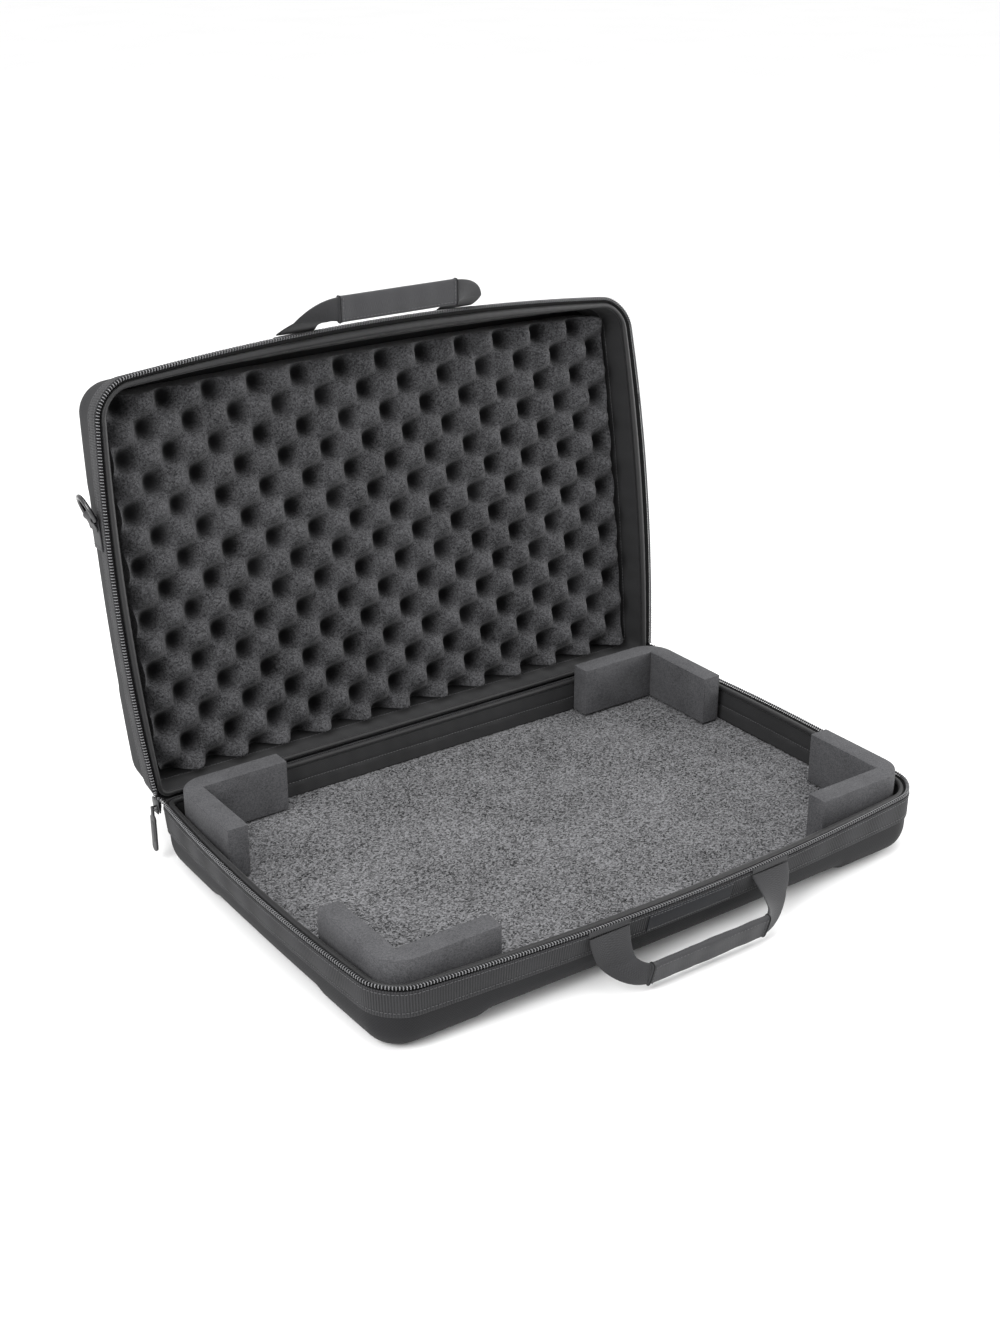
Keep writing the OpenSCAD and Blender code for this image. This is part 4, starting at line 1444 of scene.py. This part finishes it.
@dataclass
class BlankLabel:
    """The sewn label on the front band, with nothing printed on it."""

    shop: Workshop
    half: Half
    width: float = 80.0
    height: float = 15.0
    near: float = 9.0

    def build(self) -> None:
        """Makes the label and the stitches along its upper and lower edges."""
        half = self.half
        section = oval(20, self.height / 2, 0.4, 0.35)
        rings = []
        for x in np.linspace(-0.5, 0.5, 33) * self.width:
            d = self.near + self.height / 2 + section[:, 0]
            y = np.array([half.front(x, di) for di in d]) - 0.75 - section[:, 1]
            rings.append(np.column_stack([np.full(20, x), y, -d]))
        label = move_points(loft("front_label_cloth", np.stack(rings)), half.place)
        install(label, LABEL_SATIN, half.body, "label", "front_label")
        for name, d in (("upper", self.near + 1.3), ("lower", self.near + self.height - 1.3)):
            x = np.linspace(-0.48, 0.48, 40) * self.width
            y = np.array([half.front(xi, d) for xi in x]) - 1.2
            self.shop.sew(f"label_stitches_{name}",
                          half.place(np.column_stack([x, y, np.full(40, -d)])), half.body, 3.0)


@dataclass
class HingeCloth:
    """The band of cloth along the rear wall that joins the tray to the lid."""

    form: CaseForm
    thickness: float = 1.0

    def build(self) -> None:
        """Makes the fold between the two halves and hides the CAD hinge leaves."""
        f = self.form
        y0 = f.half_w + f.band_out + 0.75
        path = np.array([[y0, 10], [y0, 17], [y0 + 0.1, 21.5], [y0 + 0.9, 24.3], [y0 + 2.4, 25.4],
                         [y0 + 3.9, 24.4], [y0 + 5.1, 21.8], [y0 + 7.5, 20.2], [y0 + 13, 19.3],
                         [y0 + 19.5, 18.3]])
        line = resample(path, 26, False)
        tangent = np.gradient(line, axis=0)
        tangent /= np.linalg.norm(tangent, axis=1, keepdims=True)
        normal = np.stack([-tangent[:, 1], tangent[:, 0]], axis=1) * self.thickness / 2
        section = np.vstack([line + normal, (line - normal)[::-1]])
        half_l = f.half_l - 13
        rings = []
        for x in np.linspace(-half_l, half_l, 90):
            ripple = 0.25 * math.sin(x / 9) * math.sin(x / 41)
            rings.append(np.column_stack([np.full(len(section), x), section[:, 0],
                                          section[:, 1] + ripple]))
        cloth = loft("hinge_cloth", np.stack(rings), sharp_deg=70)
        LINING_CLOTH.dress(cloth)
        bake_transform(cloth)
        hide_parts("hinge_leaf_tray", "hinge_leaf_lid")
        LOG.info("built hinge_cloth")


@dataclass
class ZipEnd:
    """A slider parked at a rear corner, its pull, and the chain ends that meet in it."""

    shop: Workshop
    tray: Half
    lid: Half
    side: Side
    slider_l: float = 13.0
    slider_w: float = 12.0
    slider_t: float = 3.0
    bail_wire: float = 1.6
    bail_reach: float = 3.6
    pull_l: float = 38.0
    pull_w: float = 8.0
    pull_t: float = 1.8

    @property
    def base(self) -> Points:
        """The slider's inner face at its middle, on the right-hand side."""
        f = self.tray.form
        hinge_y, hinge_z = f.hinge
        return np.array([f.half_l + f.band_out + 0.3, hinge_y + 1.5, hinge_z])

    def outward(self, points: Points) -> Points:
        """Takes points from the slider's own frame (X across, Y up, Z out) to the case."""
        base = self.base
        return np.stack([self.side.value * (base[0] + points[:, 2]), base[1] + points[:, 0],
                         base[2] + points[:, 1]], axis=1)

    def slider(self) -> bpy.types.Object:
        """Two shaped plates round the chain, joined by a post, with a bail for the pull."""
        half_l, half_w = self.slider_l / 2, self.slider_w / 2
        tail = half_w * 0.6
        outline = np.array([(-tail, -half_l), (tail, -half_l), (half_w * 0.92, half_l * 0.1),
                            (half_w, half_l * 0.75), (half_w * 0.8, half_l), (0.9, half_l),
                            (0, half_l * 0.8), (-0.9, half_l), (-half_w * 0.8, half_l),
                            (-half_w, half_l * 0.75), (-half_w * 0.92, half_l * 0.1)])
        outer = plate("slider_outer", outline, self.slider_t - 1.1, self.slider_t, 0.35)
        inner = plate("slider_inner", outline * 0.96, 0.05, 0.9, 0.25)
        post = plate("slider_post", oval(12, 1.6, 2.2, 0.9) + np.array([0, half_l * 0.45]), 0.7,
                     self.slider_t - 0.9, 0.1)
        wire = self.bail_wire / 2
        foot = self.slider_w * 0.3 - wire
        reach = self.bail_reach - wire
        arch = bezier([(-foot, -2, 0), (-foot, -2, reach * 1.33), (foot, -2, reach * 1.33),
                       (foot, -2, 0)], 18) + np.array([0, 0, self.slider_t - 0.1])
        bail = sweep("slider_bail", arch, oval(12, wire, wire, 1.0), (0, 1, 0))
        slider = join(f"zip_slider_{self.side.name.lower()}_body", [outer, inner, post, bail])
        return move_points(slider, self.outward)

    def pull(self) -> bpy.types.Object:
        """The flat pull: a slotted eye, a narrow neck and a long round-ended tab."""
        half_w = self.pull_w / 2
        eye_x = self.slider_t + self.bail_reach - self.bail_wire / 2
        turn = np.radians(np.linspace(180, 360, 15))
        end_y = half_w - self.pull_l + half_w * np.sin(turn)
        end = np.stack([half_w * np.cos(turn), end_y], axis=1)
        neck = self.slider_w * 0.3 - self.bail_wire - 0.3
        outline = np.vstack([[(neck, 1.9), (-neck, 1.9), (-neck, -5.2), (-half_w, -7.5)], end,
                             [(half_w, -7.5), (neck, -5.2)]])
        face_x = eye_x + self.pull_t / 2
        tab = plate("pull_tab", outline, eye_x - self.pull_t / 2, face_x, 0.35, 3)
        pad_l = self.pull_l * 0.5
        pad_edge = oval(28, half_w * 0.62, pad_l / 2, 0.5) - np.array([0, pad_l * 1.05])
        pad = plate("pull_pad", pad_edge, face_x - 0.2, face_x + 0.35, 0.25)
        pull = join(f"zip_pull_{self.side.name.lower()}_tab", [tab, pad])
        move_points(pull, lambda p: p + np.array([0, -2.0, 0]))
        return move_points(pull, self.outward)

    def chain_end(self, half: Half) -> tuple[Points, Points]:
        """The last stretch of a half's chain, from its wall to the slider's mouth.

        Returns:
            The rail, and the place where it leaves the half.
        """
        f = half.form
        ring = half.ring(f.coil_w / 2 - f.tape_t, f.coil_end - f.coil_h / 2, 1600)
        rail = ring[ring[:, 1] < f.half_w - f.zip_end]
        rail = rail[rail[:, 1] > f.half_w - f.zip_end - 3]
        rail = rail[rail[:, 0] * self.side.value > 0]
        rail = half.place(rail[np.argsort(rail[:, 1])])
        leave = rail[-1]
        heading = (rail[-1] - rail[0]) / np.linalg.norm(rail[-1] - rail[0])
        top = self.outward(np.array([[-2.4 if half.body == "tray" else 2.4, self.slider_l / 2 - 1.5,
                                      self.slider_t / 2]]))[0]
        path = bezier([leave, leave + heading * 5, top + np.array([0, 0, 5.0]), top], 24)
        return path, leave

    def chain(self, half: Half) -> None:
        """Makes the loose chain end of one half; the tray's rides on the tray, the lid's is fixed
        in place.
        """
        path, leave = self.chain_end(half)
        name = f"{half.body}_chain_end_{self.side.name.lower()}"
        pitch = 2.3
        teeth = self.shop.row.lay(name, path, self.shop.turn, pitch, COIL_NYLON, skew=0.16)
        inward = np.array([self.side.value * 1.0, 0, 0])
        tape = sweep(name + "_tape", path - inward * 1.5, oval(12, 1.4, 0.4, 0.5), (1, 0, 0))
        for piece, finish, slot in ((teeth, COIL_NYLON, "zip_coil"),
                                    (tape, TAPE_CLOTH, "zip_tape")):
            finish.dress(piece)
            if half.body == "tray":
                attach(piece, "tray")
            else:
                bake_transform(piece)

    def build(self) -> None:
        """Builds the slider, the pull and both chain ends."""
        name = self.side.name.lower()
        install(self.slider(), SLIDER_ZINC, "tray", "slider_metal", f"zip_slider_{name}")
        install(self.pull(), PULL_PVC, f"zip_pull_{name}", "pull_rubber", f"zip_pull_{name}")
        self.chain(self.tray)
        self.chain(self.lid)
        LOG.info("built zip end %s", name)


@dataclass
class StrapRing:
    """A D-ring on the lid's side with the webbing tab that holds it."""

    shop: Workshop
    lid: Half
    side: Side
    tab_w: float = 25.0
    tab_l: float = 26.0
    from_front: float = 101.0
    wire: float = 3.6
    tab_t: float = 1.6

    def wall_x(self, d: float) -> float:
        """X of the lid's side band at the ring's bar, at distance d from the closing plane."""
        f = self.lid.form
        bar_y = -f.half_w + self.from_front
        share = d / self.lid.depth
        bow = f.side_bow * (1 - (bar_y / f.half_w) ** 2) * (1 - self.lid.bow_loss * share)
        return f.half_l + f.band_out - self.lid.draft * share + bow

    def to_case(self, points: Points) -> Points:
        """Takes points from the bar's frame (Z along it, X out, Y to the hinge) to the case."""
        f = self.lid.form
        bar_d = f.band_h + 2
        near, far = self.wall_x(bar_d - self.tab_w / 2), self.wall_x(bar_d + self.tab_w / 2)
        lean = math.atan((near - far) / self.tab_w)
        loop_r = self.wire / 2 + self.tab_t
        x = points[:, 0] * math.cos(lean) + points[:, 2] * math.sin(lean)
        z = -points[:, 0] * math.sin(lean) + points[:, 2] * math.cos(lean)
        placed = np.stack([self.side.value * (x + self.wall_x(bar_d) + loop_r + 1),
                           points[:, 1] - f.half_w + self.from_front, z - bar_d], axis=1)
        return self.lid.place(placed)

    def build(self, nodes: dict[str, bpy.types.Object]) -> None:
        """Makes the tab and its stitches, and dresses the CAD ring."""
        name = self.side.name.lower()
        r = self.wire / 2 + 0.85
        turn = np.radians(np.linspace(180, 430, 22))
        loop = np.stack([r * np.cos(turn), r * np.sin(turn)], axis=1)
        tail = np.array([[-r - 0.3, self.tab_l], [-r - 0.3, self.tab_l * 0.6], [-r - 0.1, 4]])
        back = np.array([[0.2, 4.2], [-0.9, 7.0], [-1.2, 10]])
        line = resample(np.vstack([tail, loop, back]), 60, False)
        tab = move_points(self.ribbon(f"ring_tab_{name}", line), self.to_case)
        install(tab, STRAP, "lid", "webbing", f"d_ring_tab_{name}")
        for row, y in (("near", 8.0), ("far", self.tab_l - 2.5)):
            z = np.linspace(-0.42, 0.42, 14) * self.tab_w
            rail = np.column_stack([np.full(14, -r + (1.65 if row == "near" else 0.4)),
                                    np.full(14, y), z])
            self.shop.sew(f"ring_tab_stitches_{name}_{row}", self.to_case(rail), "lid", 2.8)
        RING_STEEL.dress(nodes[f"d_ring_{name}"])

    def ribbon(self, name: str, line: Points) -> bpy.types.Object:
        """A flat webbing strip that follows a line in the XY plane, its width along Z."""
        tangent = np.gradient(line, axis=0)
        tangent /= np.linalg.norm(tangent, axis=1, keepdims=True)
        normal = np.stack([-tangent[:, 1], tangent[:, 0]], axis=1)
        section = oval(20, self.tab_w / 2, 0.62, 0.35)
        rings = []
        for point, across in zip(line, normal):
            xy = point + section[:, 1:] * across
            rings.append(np.column_stack([xy, section[:, 0]]))
        return loft(name, np.stack(rings), sharp_deg=70)


# ---------------------------------------------------------------- studio


@dataclass(frozen=True)
class Studio:
    """Camera, soft lights and the pale floor."""

    ground: float
    camera_at: tuple[float, float, float] = (-0.7765, -1.0375, 0.7218)
    yaw: float = 35.29
    pitch: float = 23.93
    lens: float = 49.9

    def camera(self) -> None:
        """Sets up the camera and makes it the scene's."""
        data = bpy.data.cameras.new("camera")
        data.lens = self.lens
        data.sensor_width = 36
        camera = bpy.data.objects.new("camera", data)
        camera.location = self.camera_at
        camera.rotation_euler = (math.radians(90 - self.pitch), 0, math.radians(-self.yaw))
        bpy.context.scene.collection.objects.link(camera)
        bpy.context.scene.camera = camera

    def light(self, name: str, place: tuple[float, float, float], size: float,
              watts: float) -> None:
        """Adds a square soft light that faces the case."""
        data = bpy.data.lights.new(name, "AREA")
        data.size = size
        data.energy = watts
        lamp = bpy.data.objects.new(name, data)
        lamp.location = place
        middle_of_case = Vector((0, 0.05, 0.1))
        beam = middle_of_case - Vector(place)
        lamp.rotation_euler = beam.to_track_quat("-Z", "Y").to_euler()
        bpy.context.scene.collection.objects.link(lamp)

    def build(self) -> None:
        """Sets the whole stage."""
        self.camera()
        self.light("left", (-1.5, -0.5, 1.3), 1.0, 34)
        self.light("right", (1.9, -0.5, 0.5), 0.9, 36)
        self.light("top", (0.0, 0.0, 2.0), 1.6, 22)
        world = bpy.data.worlds.new("studio")
        world.use_nodes = True
        sky = world.node_tree.nodes["Background"]
        sky_strength = 1.15
        sky.inputs[0].default_value = (1, 1, 1, 1)
        sky.inputs[1].default_value = sky_strength
        bpy.context.scene.world = world
        bpy.context.scene.view_settings.view_transform = "Standard"
        floor_metres = 120
        bpy.ops.mesh.primitive_grid_add(x_subdivisions=4, y_subdivisions=4, size=floor_metres,
                                        location=(0, 0, self.ground))
        floor = bpy.context.object
        floor.name = "floor"
        Finish("matt_white_paper", "#e8e8e8", "#f4f4f4", 0.9, 0.02, 300).dress(floor)
        floor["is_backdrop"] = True


def write_sizes(after: object) -> None:
    def plain(box: Sequence[Sequence[float]]) -> list[list[float]]:
        """The box's corners as plain floats."""
        return [[float(v) for v in corner] for corner in box]


def main() -> None:
    """Builds the case piece by piece around the CAD frame."""
    logging.basicConfig(level=logging.INFO, format="%(name)s: %(message)s")
    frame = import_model()
    bpy.ops.object.select_all(action="DESELECT")
    cad_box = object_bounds()
    nodes = frame["nodes"]
    form = CaseForm()
    tray = Half("tray", form, 53.0, 20.0, 0.0, 0.85, form.rim_h, 3.0)
    lid = Half("lid", form, 69.0, 22.0, 7.4, 0.5, 48.5, 0.0)
    shop = Workshop(form)
    for half in (tray, lid):
        CaseHalf(shop, half).build()
    WaveFoam(lid).build()
    Floor(tray).build(nodes)
    for corner in Corner:
        CornerBlock(form, corner).build(nodes)
    Handle(shop, tray, "front_handle", 33.0, 50.0, 36.75, 0.0, -1).build()
    Handle(shop, lid, "lid_handle", 35.0, -46.5, 39.0, 7.4, 1).build()
    BlankLabel(shop, tray).build()
    HingeCloth(form).build()
    for side in Side:
        ZipEnd(shop, tray, lid, side).build()
        StrapRing(shop, lid, side).build(nodes)
    Studio(cad_box[0][2]).build()
    write_sizes(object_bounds())


if __name__ == "__main__":
    main()
